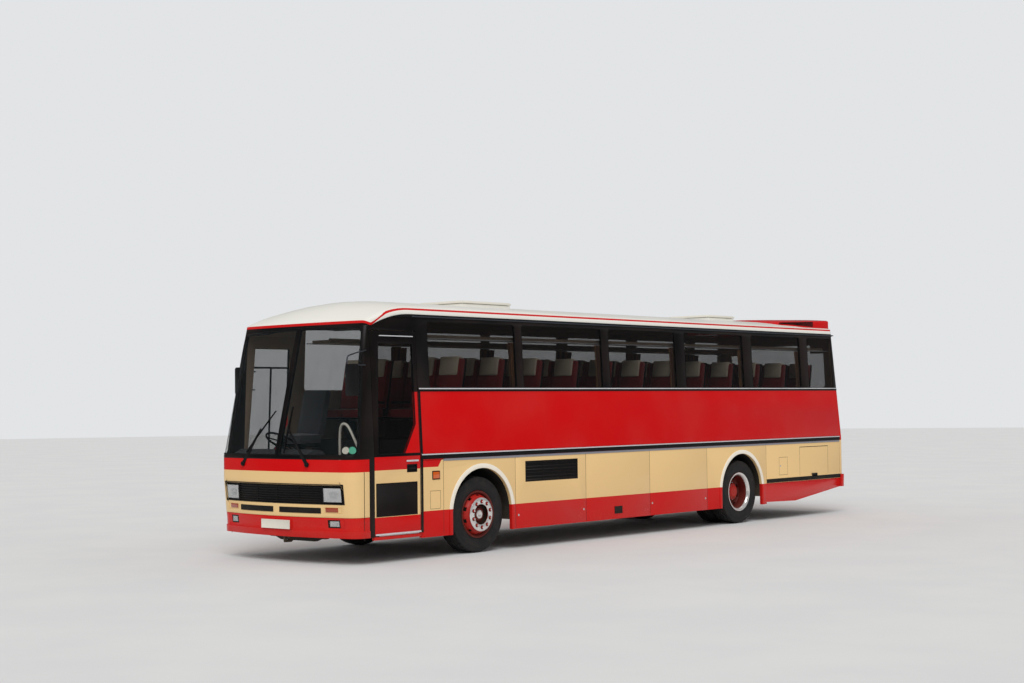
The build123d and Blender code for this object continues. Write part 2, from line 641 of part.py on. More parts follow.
def running_gear():
    """Axles, steering knuckles, wheels and tyres."""
    beam = block(-930, 930, FRONT_AXLE - 45, FRONT_AXLE + 45, 440, 530)
    beam -= block(-600, 600, FRONT_AXLE - 50, FRONT_AXLE + 50, 500, 600)
    beam += block(-600, 600, FRONT_AXLE - 45, FRONT_AXLE + 45, 400, 500)
    for x in (-KINGPIN, KINGPIN):
        beam += rod_z(52, 430, 560, x, FRONT_AXLE)
        beam -= rod_z(30, 400, 600, x, FRONT_AXLE)
    for x in (-380, 380):
        beam += block(x - 40, x + 40, FRONT_AXLE - 60, FRONT_AXLE + 60, 490, 689)
    emit("front_axle", beam)

    knuckle = rod_z(50, 566, 600, KINGPIN, FRONT_AXLE)
    knuckle += rod_z(50, 390, 424, KINGPIN, FRONT_AXLE)
    knuckle += rod_z(24, 395, 595, KINGPIN, FRONT_AXLE)
    knuckle += block(KINGPIN + 10, KINGPIN + 86, FRONT_AXLE - 45, FRONT_AXLE + 45, 566, 600)
    knuckle += block(KINGPIN + 10, KINGPIN + 86, FRONT_AXLE - 45, FRONT_AXLE + 45, 390, 424)
    knuckle += block(KINGPIN + 58, KINGPIN + 86, FRONT_AXLE - 45, FRONT_AXLE + 45, 390, 600)
    knuckle += rod_x(34, KINGPIN + 60, KINGPIN + 170, FRONT_AXLE, AXLE_HEIGHT)
    emit("knuckle_left", knuckle)
    emit("knuckle_right", mirrored(knuckle))

    front_wheel = turned(RIM_FACE + FRONT_DISC, FRONT_AXLE, TYRE_PLANE)
    emit("front_wheel_left", front_wheel)
    emit("front_wheel_right", mirrored(front_wheel))
    front_tyre = turned(TYRE_OUTLINE, FRONT_AXLE, TYRE_PLANE)
    emit("front_tyre_left", front_tyre)
    emit("front_tyre_right", mirrored(front_tyre))

    rear_wheel = turned(RIM_FACE + REAR_DISC + TWIN_DISC, REAR_AXLE, TYRE_PLANE)
    emit("rear_wheel_left", rear_wheel)
    emit("rear_wheel_right", mirrored(rear_wheel))
    twins = [turned(TYRE_OUTLINE, REAR_AXLE, plane) for plane in (TYRE_PLANE, TWIN_PLANE)]
    emit("rear_tyres_left", *twins)
    emit("rear_tyres_right", *[mirrored(piece) for piece in twins])

    axle = rod_x(70, -570, 570, REAR_AXLE, AXLE_HEIGHT)
    axle += rod_x(190, -170, 170, REAR_AXLE, AXLE_HEIGHT)
    axle += rod_x(150, 545, 570, REAR_AXLE, AXLE_HEIGHT)
    axle += rod_x(150, -570, -545, REAR_AXLE, AXLE_HEIGHT)
    for x in (-380, 380):
        axle += block(x - 40, x + 40, REAR_AXLE - 70, REAR_AXLE + 70, 480, 689)
    emit("rear_axle", axle)

    engine = block(-310, 310, -2740, -1500, 400, 1000)
    engine = chamfer(engine.edges().filter_by(Axis.Y), 60)
    emit("engine", engine)
    liners = [arch_liner(FRONT_ARCH), arch_liner(REAR_ARCH)]
    emit("arch_liners", *[piece for liner in liners for piece in both_sides(liner)])


def turned(outline, y, plane):
    """Turn an (offset, radius) outline about a wheel's axis, in flats that keep its mesh light."""
    step = 2 * pi / FLATS
    faces = []
    for index in range(FLATS):
        turns = [(index - 0.5) * step, (index + 0.5) * step]
        for start, end in zip(outline, outline[1:] + outline[:1]):
            corners = []
            for (offset, radius), turn in zip((start, end, end, start), (turns[0], *turns, turns[1])):
                reach = radius / cos(step / 2)
                corner = (plane + offset, y + reach * sin(turn), AXLE_HEIGHT + reach * cos(turn))
                if corner not in corners:
                    corners.append(corner)
            if len(corners) > 2:
                faces.append(Face(Wire.make_polygon(corners, close=True)))
    return Solid(Shell(faces))


def fittings():
    """Mirrors, wipers and towing eyes."""
    left = block(1270, 1470, -5930, -5868, 2050, 2440)
    left = fillet(left.edges().filter_by(Axis.Y), 40)
    for z in (2400, 2560):
        left += arm((1150, -5500, z + 10), (1340, -5895, z - 20 if z < 2500 else 2425))
    right = block(-1470, -1270, -5560, -5498, 2110, 2550)
    right = fillet(right.edges().filter_by(Axis.Y), 40)
    for z in (2230, 2480):
        right += arm((-1150, -5440, z), (-1300, -5520, z))
    emit("mirrors", left - volume(0), right - volume(0))

    wipers = []
    for x, lean in ((500, -430), (-680, 430)):
        spindle = Pos(x, -5905, 1225) * Rot(90, 0, 0) * Cylinder(26, 30)
        blade = arm((x, -5915, 1225), (x + lean, -5800, 1820))
        wipers.append(spindle + blade - volume(-2))
    emit("wipers", *wipers)

    front_eye = prism_x([(-5800, 430), (-5560, 430), (-5560, 330), (-5660, 240), (-5770, 240)], -16, 16)
    front_eye -= rod_x(EYE_RADIUS, -40, 40, -5725, 285)
    rear_eye = prism_x(
        [(5500, 480), (5800, 480), (5860, 440), (5860, 360), (5780, 330), (5500, 400)], -16, 16
    )
    rear_eye -= rod_x(EYE_RADIUS, -40, 40, 5808, 396)
    emit("towing_eyes", front_eye, rear_eye)


def arm(start, end):
    """Return a thin square arm between two points."""
    line = Line(start, end)
    section = Plane(origin=line @ 0, z_dir=line % 0) * Rectangle(16, 16)
    return sweep(section, path=line)


marker_hole = front_panels()
side_panels(marker_hole)
flaps()
roof_panels()
rear_panels()
interior()
floors()
chassis()
running_gear()
fittings()
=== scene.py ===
import json
import logging
import math
from dataclasses import dataclass
from enum import Enum
from typing import Any, Callable, Optional, Sequence

import bpy
from mathutils import Matrix, Vector


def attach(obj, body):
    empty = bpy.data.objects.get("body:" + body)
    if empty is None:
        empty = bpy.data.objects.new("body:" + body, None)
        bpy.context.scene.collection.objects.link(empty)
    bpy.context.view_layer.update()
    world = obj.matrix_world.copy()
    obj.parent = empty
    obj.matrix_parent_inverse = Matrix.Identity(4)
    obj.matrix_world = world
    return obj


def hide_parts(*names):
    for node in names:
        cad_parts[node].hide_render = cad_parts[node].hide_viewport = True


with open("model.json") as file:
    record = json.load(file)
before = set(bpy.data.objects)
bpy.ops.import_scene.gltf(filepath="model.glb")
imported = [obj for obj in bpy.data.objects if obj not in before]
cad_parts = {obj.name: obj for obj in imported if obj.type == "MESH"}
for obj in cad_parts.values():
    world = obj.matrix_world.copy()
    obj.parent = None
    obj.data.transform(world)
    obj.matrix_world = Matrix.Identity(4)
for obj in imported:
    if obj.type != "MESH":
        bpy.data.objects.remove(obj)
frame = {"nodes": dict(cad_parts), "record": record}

LOG = logging.getLogger("coach")
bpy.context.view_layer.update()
# Points this close count as level; the other two distances weld our own meshes and the CAD's
NEAR = 0.001
WELD = 0.00001
CAD_WELD = 0.00005
# Edges that turn by more than this are rounded
SHARP = math.radians(32)
# The body that carries each CAD node
BODY_OF = {node: body for body, nodes in frame["record"]["behaviour"]["bodies"].items() for node in nodes}

Colour = tuple[float, float, float, float]
Point = tuple[float, float, float]
Profile = Sequence[tuple[float, float]]
Cuts = Sequence[tuple[int, int]]
Piece = bpy.types.Object
Shade = bpy.types.Material
Socket = bpy.types.NodeSocket


def tint(red: int, green: int, blue: int) -> Colour:
    """Turn a display colour into a linear one.

    Args:
        red: Red from 0 to 255.
        green: Green from 0 to 255.
        blue: Blue from 0 to 255.

    Returns:
        The linear colour with full alpha.
    """

    def linear(level: int) -> float:
        """Return one channel on the linear scale."""
        share = level / 255
        return share / 12.92 if share <= 0.04045 else ((share + 0.055) / 1.055) ** 2.4

    return (linear(red), linear(green), linear(blue), 1.0)


RED = tint(205, 8, 12)
CREAM = tint(236, 200, 142)
WHITE = tint(236, 234, 226)
FLARE_WHITE = tint(246, 238, 222)
BLACK = tint(8, 8, 10)
DUST = tint(128, 112, 92)
# Past both ends of the coach, for bands of paint that run on
ENDLESS = 9.0


class Slot(Enum):
    """The finishes that the record names."""

    CREAM_RED = "cream_red_paint"
    RED = "red_paint"
    WHITE = "white_paint"
    BLACK = "black_gloss"
    GLASS = "glass"
    LAMP = "lamp_glass"
    AMBER = "amber_lamp"
    RED_LAMP = "red_lamp"
    BRIGHT = "bright_trim"
    PLASTIC = "black_plastic"
    MOQUETTE = "red_moquette"
    CURTAIN = "curtain_cloth"
    CHASSIS = "chassis_black"
    ENGINE = "engine_grey"
    WHEEL = "wheel_red"
    TYRE = "tyre"


class Hand(Enum):
    """The two sides of the coach, as the driver sees them."""

    LEFT = 1
    RIGHT = -1

    @property
    def word(self) -> str:
        """Return the side's name as the nodes spell it."""
        return self.name.lower()

    @property
    def flip(self) -> Matrix:
        """Return the scale that puts a nearside piece on this side."""
        return Matrix.Scale(self.value, 4, (1, 0, 0))


# Node boards


class Board:
    """A node tree with short calls for the nodes that the finishes use."""

    def __init__(self, tree: bpy.types.NodeTree) -> None:
        """Start on an empty tree.

        Args:
            tree: The material's, world's or group's node tree.
        """
        self.tree = tree
        tree.nodes.clear()

    def node(self, kind: str, **settings: Any) -> bpy.types.Node:
        """Add a node.

        Args:
            kind: Blender's name for the node type.
            settings: Properties to set on it.

        Returns:
            The new node.
        """
        made = self.tree.nodes.new(kind)
        made.location = (180.0 * (len(self.tree.nodes) % 12), -220.0 * (len(self.tree.nodes) // 12))
        for name, value in settings.items():
            setattr(made, name, value)
        return made

    def feed(self, socket: Socket, value: Any) -> None:
        """Link an output to an input, or set the input's plain value.

        Args:
            socket: The input.
            value: An output socket or a plain value.
        """
        if isinstance(value, Socket):
            self.tree.links.new(value, socket)
        else:
            socket.default_value = value

    def value(self, kind: str, inputs: dict[Any, Any], output: Any = 0, **settings: Any) -> Socket:
        """Add a node and return one of its outputs.

        Args:
            kind: Blender's name for the node type.
            inputs: What its inputs get, by name or number.
            output: Name or number of the output.
            settings: Properties to set on it.

        Returns:
            The output.
        """
        made = self.node(kind, **settings)
        for name, value in inputs.items():
            self.feed(made.inputs[name], value)
        return made.outputs[output]

    def math(self, operation: str, *values: Any) -> Socket:
        """Return the result of a Math node on plain values or outputs."""
        return self.value("ShaderNodeMath", dict(enumerate(values)), operation=operation)

    def product(self, *values: Any) -> Socket:
        """Return several values multiplied together."""
        total = values[0]
        for value in values[1:]:
            total = self.math("MULTIPLY", total, value)
        return total

    def mix(self, share: Any, low: Any, high: Any) -> Socket:
        """Return a colour between two colours, by the share of the second."""
        return self.value("ShaderNodeMix", {0: share, 6: low, 7: high}, 2, data_type="RGBA")

    def spread(self, value: Any, low: float, high: float, start: float = 0.0, end: float = 1.0) -> Socket:
        """Return a value moved smoothly from one range to another.

        Args:
            value: The value.
            low: Where the first range starts.
            high: Where the first range ends.
            start: Result at its start.
            end: Result at its end.

        Returns:
            The result, held inside the second range.
        """
        inputs = {"Value": value, "From Min": low, "From Max": high, "To Min": start, "To Max": end}
        return self.value("ShaderNodeMapRange", inputs, interpolation_type="SMOOTHSTEP")

    def noise(self, position: Any, scale: Any, detail: float = 3.0, roughness: float = 0.5) -> Socket:
        """Return cloud noise from 0 to 1.

        Args:
            position: Where the noise is read.
            scale: Clouds a metre.
            detail: Number of finer layers.
            roughness: Weight of the finer layers.

        Returns:
            The noise value.
        """
        inputs = {"Vector": position, "Scale": scale, "Detail": detail, "Roughness": roughness}
        return self.value("ShaderNodeTexNoise", inputs)

    def stretched(self, position: Any, scale: Point) -> Socket:
        """Return a position scaled along its axes."""
        return self.value("ShaderNodeMapping", {"Vector": position, "Scale": scale})

    def axes(self, position: Any) -> Sequence[Socket]:
        """Return the x, y and z of a position."""
        made = self.node("ShaderNodeSeparateXYZ")
        self.feed(made.inputs[0], position)
        return made.outputs

    def bump(self, height: Any, distance: float, strength: float = 1.0) -> Socket:
        """Return a normal that follows a height."""
        inputs = {"Height": height, "Distance": distance, "Strength": strength}
        return self.value("ShaderNodeBump", inputs)

    def group(self, tree: bpy.types.NodeTree, **values: Any) -> dict[str, Socket]:
        """Place a shared group.

        Args:
            tree: The group.
            values: Its inputs by name.

        Returns:
            Its outputs by name.
        """
        made = self.node("ShaderNodeGroup", node_tree=tree)
        for name, value in values.items():
            self.feed(made.inputs[name], value)
        return {socket.name: socket for socket in made.outputs}

    def surface(self, **values: Any) -> None:
        """Finish a material with a Principled shader.

        Args:
            values: Its inputs, with an underscore for each space.
        """
        inputs = {name.replace("_", " "): value for name, value in values.items()}
        shader = self.value("ShaderNodeBsdfPrincipled", inputs)
        self.feed(self.node("ShaderNodeOutputMaterial").inputs[0], shader)


def shared_group(
    name: str, numbers: Sequence[str], outputs: Sequence[str], fill: Callable[[Board, Any], dict[str, Any]]
) -> bpy.types.NodeTree:
    """Build a node group with named sockets.

    Args:
        name: The group's name.
        numbers: Names of its plain inputs, which follow the position.
        outputs: Names of the outputs, which are all values.
        fill: Makes the inside and returns each output's value.

    Returns:
        The group.
    """
    tree = bpy.data.node_groups.new(name, "ShaderNodeTree")
    tree.interface.new_socket(name="Position", in_out="INPUT", socket_type="NodeSocketVector")
    for side, labels in (("INPUT", numbers), ("OUTPUT", outputs)):
        for label in labels:
            tree.interface.new_socket(name=label, in_out=side, socket_type="NodeSocketFloat")
    board = Board(tree)
    entry = board.node("NodeGroupInput")
    leave = board.node("NodeGroupOutput")
    for label, value in fill(board, entry.outputs).items():
        board.feed(leave.inputs[label], value)
    return tree


def road_dust_inside(board: Board, given: Any) -> dict[str, Any]:
    """Dust that thickens towards the road and gathers in clouds."""
    height = board.axes(given["Position"])[2]
    rise = board.math("SUBTRACT", 1.0, board.math("DIVIDE", height, given["Height"]))
    rise = board.math("POWER", board.math("MAXIMUM", rise, 0.0), 1.6)
    cloud = board.noise(given["Position"], 3.0, 4.0, 0.6)
    speck = board.noise(given["Position"], 60.0, 2.0, 0.5)
    broken = board.product(board.spread(cloud, 0.25, 0.7, 0.3, 1.0), board.spread(speck, 0.3, 0.7, 0.6, 1.0))
    mask = board.product(rise, broken, given["Amount"])
    return {"Mask": board.math("MINIMUM", mask, 1.0)}


def paint_skin_inside(board: Board, given: Any) -> dict[str, Any]:
    """Slight waviness of a painted panel and the fading of its paint."""
    wave = board.noise(given["Position"], 1.7, 1.0, 0.4)
    peel = board.noise(given["Position"], 260.0, 1.0, 0.4)
    fade = board.noise(given["Position"], 0.9, 3.0, 0.55)
    height = board.math("MULTIPLY_ADD", peel, 0.004, wave)
    return {"Height": height, "Fade": board.spread(fade, 0.3, 0.7)}


def weave_inside(board: Board, given: Any) -> dict[str, Any]:
    """Over and under threads of a woven cloth, with a tone of random fluff and thread height that the cloth
    uses for painted shade in its hollows.
    """
    x, y, z = board.axes(given["Position"])
    along = board.math("SINE", board.product(board.math("ADD", x, y), given["Threads"]))
    slant = board.math("SUBTRACT", z, board.product(y, 0.3))
    across = board.math("SINE", board.product(slant, given["Threads"]))
    height = board.math("MULTIPLY_ADD", board.product(along, across), 0.5, 0.5)
    fluff = board.noise(given["Position"], 420.0, 2.0, 0.6)
    return {"Height": height, "Tone": board.math("MULTIPLY_ADD", fluff, 0.5, board.product(height, 0.5))}


def streaks_inside(board: Board, given: Any) -> dict[str, Any]:
    """Fine drawn lines along X, as on brushed or rolled metal, and worn spots."""
    lines = board.noise(board.stretched(given["Position"], (6.0, 6.0, 900.0)), 1.0, 2.0, 0.6)
    spots = board.noise(given["Position"], 45.0, 4.0, 0.65)
    return {"Lines": lines, "Spots": board.spread(spots, 0.45, 0.75)}


def leather_grain_inside(board: Board, given: Any) -> dict[str, Any]:
    """Small pebbles of moulded plastic or rubber."""
    inputs = {"Vector": given["Position"], "Scale": given["Scale"]}
    cells = board.value("ShaderNodeTexVoronoi", inputs, "Distance", feature="F1")
    speck = board.noise(given["Position"], given["Scale"], 2.0, 0.6)
    return {"Height": board.math("MULTIPLY_ADD", speck, 0.4, cells), "Speck": speck}


class Effects:
    """The shader groups that several finishes share."""

    road_dust = shared_group("road_dust", ("Height", "Amount"), ("Mask",), road_dust_inside)
    paint_skin = shared_group("paint_skin", (), ("Height", "Fade"), paint_skin_inside)
    weave = shared_group("weave", ("Threads",), ("Height", "Tone"), weave_inside)
    streaks = shared_group("streaks", (), ("Lines", "Spots"), streaks_inside)
    grain = shared_group("moulded_grain", ("Scale",), ("Height", "Speck"), leather_grain_inside)


def dust_mask(board: Board, position: Any, height: float, amount: float) -> Socket:
    """Return where road dust lies, below a height and in an amount."""
    return board.group(Effects.road_dust, Position=position, Height=height, Amount=amount)["Mask"]


def darker(colour: Colour) -> Colour:
    """Return a colour's shaded tone."""
    return (*(part * 0.55 for part in colour[:3]), 1.0)


# Finishes


@dataclass(frozen=True)
class Finish:
    """A material by name; each kind of finish fills its own board."""

    name: str

    def make(self) -> Shade:
        """Build the material."""
        material = bpy.data.materials.new(self.name)
        material.use_nodes = True
        board = Board(material.node_tree)
        self.fill(board, board.value("ShaderNodeTexCoord", {}, "Object"))
        return material

    def fill(self, board: Board, position: Any) -> None:
        """Add the nodes that make the finish."""
        raise NotImplementedError


@dataclass(frozen=True)
class Band:
    """A painted area between two heights and two stations, on a panel."""

    colour: Colour
    low: float
    high: float
    front: float = -ENDLESS
    rear: float = ENDLESS
    lean: float = 0.0


@dataclass(frozen=True)
class Paint(Finish):
    """Gloss coach paint in one colour with bands of others."""

    base: Colour
    bands: tuple[Band, ...] = ()
    flare: bool = False
    dust: float = 0.08
    roughness: float = 0.16
    coat: float = 0.04
    shine: float = 0.15

    def livery(self, board: Board, position: Any) -> Any:
        """Return the paint's colour over the panel."""
        x, y, z = board.axes(position)
        colour: Any = self.base
        for band in self.bands:
            over, under = board.math("GREATER_THAN", z, band.low), board.math("LESS_THAN", z, band.high)
            inside = board.product(over, under)
            if band.front > -ENDLESS:
                inside = board.product(inside, board.math("GREATER_THAN", y, band.front))
            if band.rear < ENDLESS:
                edge = band.rear
                if band.lean:
                    edge = board.math("MULTIPLY_ADD", z, band.lean, band.rear - band.lean * band.low)
                inside = board.product(inside, board.math("LESS_THAN", y, edge))
            colour = board.mix(inside, colour, band.colour)
        if self.flare:
            proud = board.math("GREATER_THAN", board.math("ABSOLUTE", x), 1.2525)
            lip = board.product(proud, board.math("GREATER_THAN", z, 0.60), board.math("LESS_THAN", z, 1.2))
            colour = board.mix(lip, colour, FLARE_WHITE)
        return colour

    def fill(self, board: Board, position: Any) -> None:
        """Add the nodes that make the finish."""
        skin = board.group(Effects.paint_skin, Position=position)
        dust = dust_mask(board, position, 1.3, self.dust)
        colour = self.livery(board, position)
        faded = board.mix(board.product(skin["Fade"], 0.03), colour, tint(190, 150, 130))
        rough = board.spread(skin["Fade"], 0.0, 1.0, self.roughness, self.roughness + 0.1)
        board.surface(
            Base_Color=board.mix(dust, faded, DUST),
            Roughness=board.math("MULTIPLY_ADD", dust, 0.5, rough),
            Coat_Weight=self.coat,
            Coat_Roughness=0.06,
            Specular_IOR_Level=self.shine,
            Normal=board.bump(skin["Height"], 0.0016, 0.5),
        )


@dataclass(frozen=True)
class RoofPaint(Paint):
    """White roof paint with the thin red line that follows the roof's edge."""

    line: Colour = RED
    level: float = 3.08
    drop: float = 0.157
    bend_start: float = -4.70
    bend_length: float = 0.66
    tip: float = -5.38

    def livery(self, board: Board, position: Any) -> Any:
        """Return white with the red line above the side's top edge."""
        _, y, z = board.axes(position)
        ahead = board.math("SUBTRACT", self.bend_start, y)
        sweep = board.math("MAXIMUM", board.math("DIVIDE", ahead, self.bend_length), 0.0)
        sweep = board.math("MINIMUM", sweep, 1.0)
        edge = board.math("MULTIPLY_ADD", board.math("POWER", sweep, 1.95), -self.drop, self.level)
        lift = board.spread(y, self.tip, -5.05, 0.0, 0.052)
        raised = board.spread(y, -5.45, -5.37, 0.027, 0.0)
        low = board.math("ADD", board.math("ADD", edge, lift), raised)
        thick = board.spread(y, -5.4, -5.2, 0.034, 0.026)
        above = board.math("GREATER_THAN", z, low)
        below = board.math("LESS_THAN", z, board.math("ADD", low, thick))
        lined = board.mix(board.product(above, below), self.base, self.line)
        under = board.product(board.math("LESS_THAN", y, self.tip), board.math("LESS_THAN", z, low))
        return board.mix(under, lined, BLACK)


@dataclass(frozen=True)
class Moulding(Finish):
    """Moulded plastic or rubber with a fine grain."""

    colour: Colour
    roughness: float = 0.45
    scale: float = 600.0
    depth: float = 0.0003
    dust: float = 0.3
    height: float = 1.2

    def fill(self, board: Board, position: Any) -> None:
        """Add the nodes that make the finish."""
        grain = board.group(Effects.grain, Position=position, Scale=self.scale)
        dust = dust_mask(board, position, self.height, self.dust)
        lighter = (*(min(1.0, part * 1.5 + 0.006) for part in self.colour[:3]), 1.0)
        colour = board.mix(board.spread(grain["Speck"], 0.3, 0.7), self.colour, lighter)
        board.surface(
            Base_Color=board.mix(dust, colour, DUST),
            Roughness=board.spread(grain["Speck"], 0.2, 0.8, self.roughness - 0.06, self.roughness + 0.1),
            Specular_IOR_Level=0.14,
            Normal=board.bump(grain["Height"], self.depth),
        )


@dataclass(frozen=True)
class Metal(Finish):
    """Bare, plated or anodised metal with drawn lines and tired spots."""

    colour: Colour
    roughness: float = 0.2
    wear: float = 0.3
    dust: float = 0.3
    # Below 1, part of the colour stays diffuse: painted reflection that keeps trim bright under any light
    metal: float = 1.0

    def fill(self, board: Board, position: Any) -> None:
        """Add the nodes that make the finish."""
        streaks = board.group(Effects.streaks, Position=position)
        dust = dust_mask(board, position, 1.1, self.dust)
        tired = board.mix(board.product(streaks["Spots"], self.wear), self.colour, tint(96, 88, 80))
        rough = board.spread(streaks["Lines"], 0.2, 0.8, self.roughness, self.roughness + 0.12)
        board.surface(
            Base_Color=board.mix(dust, tired, DUST),
            Metallic=board.math("MULTIPLY_ADD", dust, -self.metal, self.metal),
            Roughness=board.math("MULTIPLY_ADD", streaks["Spots"], 0.15, rough),
            Normal=board.bump(streaks["Lines"], 0.0001, 0.4),
        )


@dataclass(frozen=True)
class Glazing(Finish):
    """Thin toughened glass: tinted, clear head on and mirror-like at a slant."""

    colour: Colour
    clear: float
    slant: float = 0.9
    grime: float = 0.1
    shine: float = 0.6

    def fill(self, board: Board, position: Any) -> None:
        """Add the nodes that make the finish."""
        smear = board.noise(board.stretched(position, (1.0, 1.0, 0.35)), 4.0, 4.0, 0.6)
        smear = board.product(board.spread(smear, 0.5, 0.8), self.grime)
        facing = board.value("ShaderNodeLayerWeight", {"Blend": 0.25}, "Facing")
        solid = board.spread(facing, 0.35, 1.0, self.clear, self.slant)
        board.surface(
            Base_Color=board.mix(smear, self.colour, tint(120, 116, 108)),
            Roughness=board.math("MULTIPLY_ADD", smear, 0.5, 0.02),
            IOR=1.5,
            Alpha=board.math("MINIMUM", board.math("ADD", solid, smear), 1.0),
            Specular_IOR_Level=self.shine,
        )


@dataclass(frozen=True)
class Lens(Finish):
    """Moulded lamp lens with fine ribs, as a bump and as painted light and shade in its colour."""

    colour: Colour
    solid: float = 1.0
    ribs: float = 700.0

    def fill(self, board: Board, position: Any) -> None:
        """Add the nodes that make the finish."""
        x, y, z = board.axes(position)
        across = board.math("SINE", board.product(board.math("ADD", x, y), self.ribs))
        up = board.math("SINE", board.product(z, self.ribs * 0.6))
        dust = dust_mask(board, position, 1.3, 0.25)
        # The darker and lighter tones over the ribs are painted light and shade
        deep = darker(self.colour)
        shade = board.mix(board.math("MULTIPLY_ADD", board.product(across, up), 0.5, 0.5), deep, self.colour)
        board.surface(
            Base_Color=board.mix(dust, shade, DUST),
            Roughness=board.math("MULTIPLY_ADD", dust, 0.4, 0.12),
            Alpha=board.math("MAXIMUM", dust, self.solid),
            Coat_Weight=0.6,
            Coat_Roughness=0.03,
            Normal=board.bump(across, 0.0006, 0.6),
        )


@dataclass(frozen=True)
class Cloth(Finish):
    """Woven cloth with a pattern of squares or stripes."""

    colour: Colour
    second: Colour
    third: Colour
    threads: float = 2600.0
    stripe: float = 0.0

    def fill(self, board: Board, position: Any) -> None:
        """Add the nodes that make the finish."""
        weave = board.group(Effects.weave, Position=position, Threads=self.threads)
        x, y, z = board.axes(position)
        if self.stripe:
            wave = board.math("SINE", board.product(y, self.stripe))
            pattern = board.spread(wave, 0.2, 0.5)
            fleck = board.spread(board.math("SINE", board.product(y, self.stripe * 3.1)), 0.75, 0.95)
        else:
            first = board.math("SINE", board.product(x, 190.0))
            other = board.math("SINE", board.product(board.math("ADD", z, board.product(y, 0.8)), 190.0))
            pattern = board.spread(board.product(first, other), 0.15, 0.4)
            fleck = board.spread(board.noise(position, 140.0, 1.0), 0.62, 0.7)
        colour = board.mix(pattern, self.colour, self.second)
        colour = board.mix(board.product(fleck, 0.7), colour, self.third)
        # The colour darkens where the threads dip: painted shade in the weave's hollows, with random fluff
        shade = darker(self.colour)
        board.surface(
            Base_Color=board.mix(board.spread(weave["Tone"], 0.2, 0.8, 0.45, 0.0), colour, shade),
            Roughness=board.spread(weave["Tone"], 0.0, 1.0, 0.95, 0.8),
            Sheen_Weight=0.35,
            Sheen_Roughness=0.5,
            Specular_IOR_Level=0.2,
            Normal=board.bump(weave["Height"], 0.0008, 0.7),
        )


@dataclass(frozen=True)
class Tyre(Finish):
    """Tyre rubber, dusty on the tread and browned on the wall."""

    def fill(self, board: Board, position: Any) -> None:
        """Add the nodes that make the finish."""
        grain = board.group(Effects.grain, Position=position, Scale=240.0)
        cloud = board.noise(position, 9.0, 4.0, 0.6)
        brown = board.mix(board.spread(cloud, 0.35, 0.75, 0.0, 0.55), tint(26, 27, 30), tint(58, 53, 48))
        board.surface(
            Base_Color=board.mix(board.spread(grain["Speck"], 0.5, 0.8, 0.0, 0.25), brown, tint(88, 82, 74)),
            Roughness=board.spread(cloud, 0.3, 0.7, 0.62, 0.85),
            Specular_IOR_Level=0.3,
            Normal=board.bump(grain["Height"], 0.0005, 0.8),
        )


@dataclass(frozen=True)
class Ground(Finish):
    """Matt studio floor with a faint cloudy grain."""

    def fill(self, board: Board, position: Any) -> None:
        """Add the nodes that make the finish."""
        cloud = board.noise(position, 0.6, 4.0, 0.6)
        board.surface(
            Base_Color=board.mix(board.spread(cloud, 0.3, 0.7), tint(216, 216, 216), tint(220, 220, 219)),
            Roughness=0.85,
            Specular_IOR_Level=0.1,
        )


LOWER_RED = Band(RED, 0.0, 0.60)
SASH = Band(RED, 1.15, 1.30, -4.62, -4.29, 0.7)


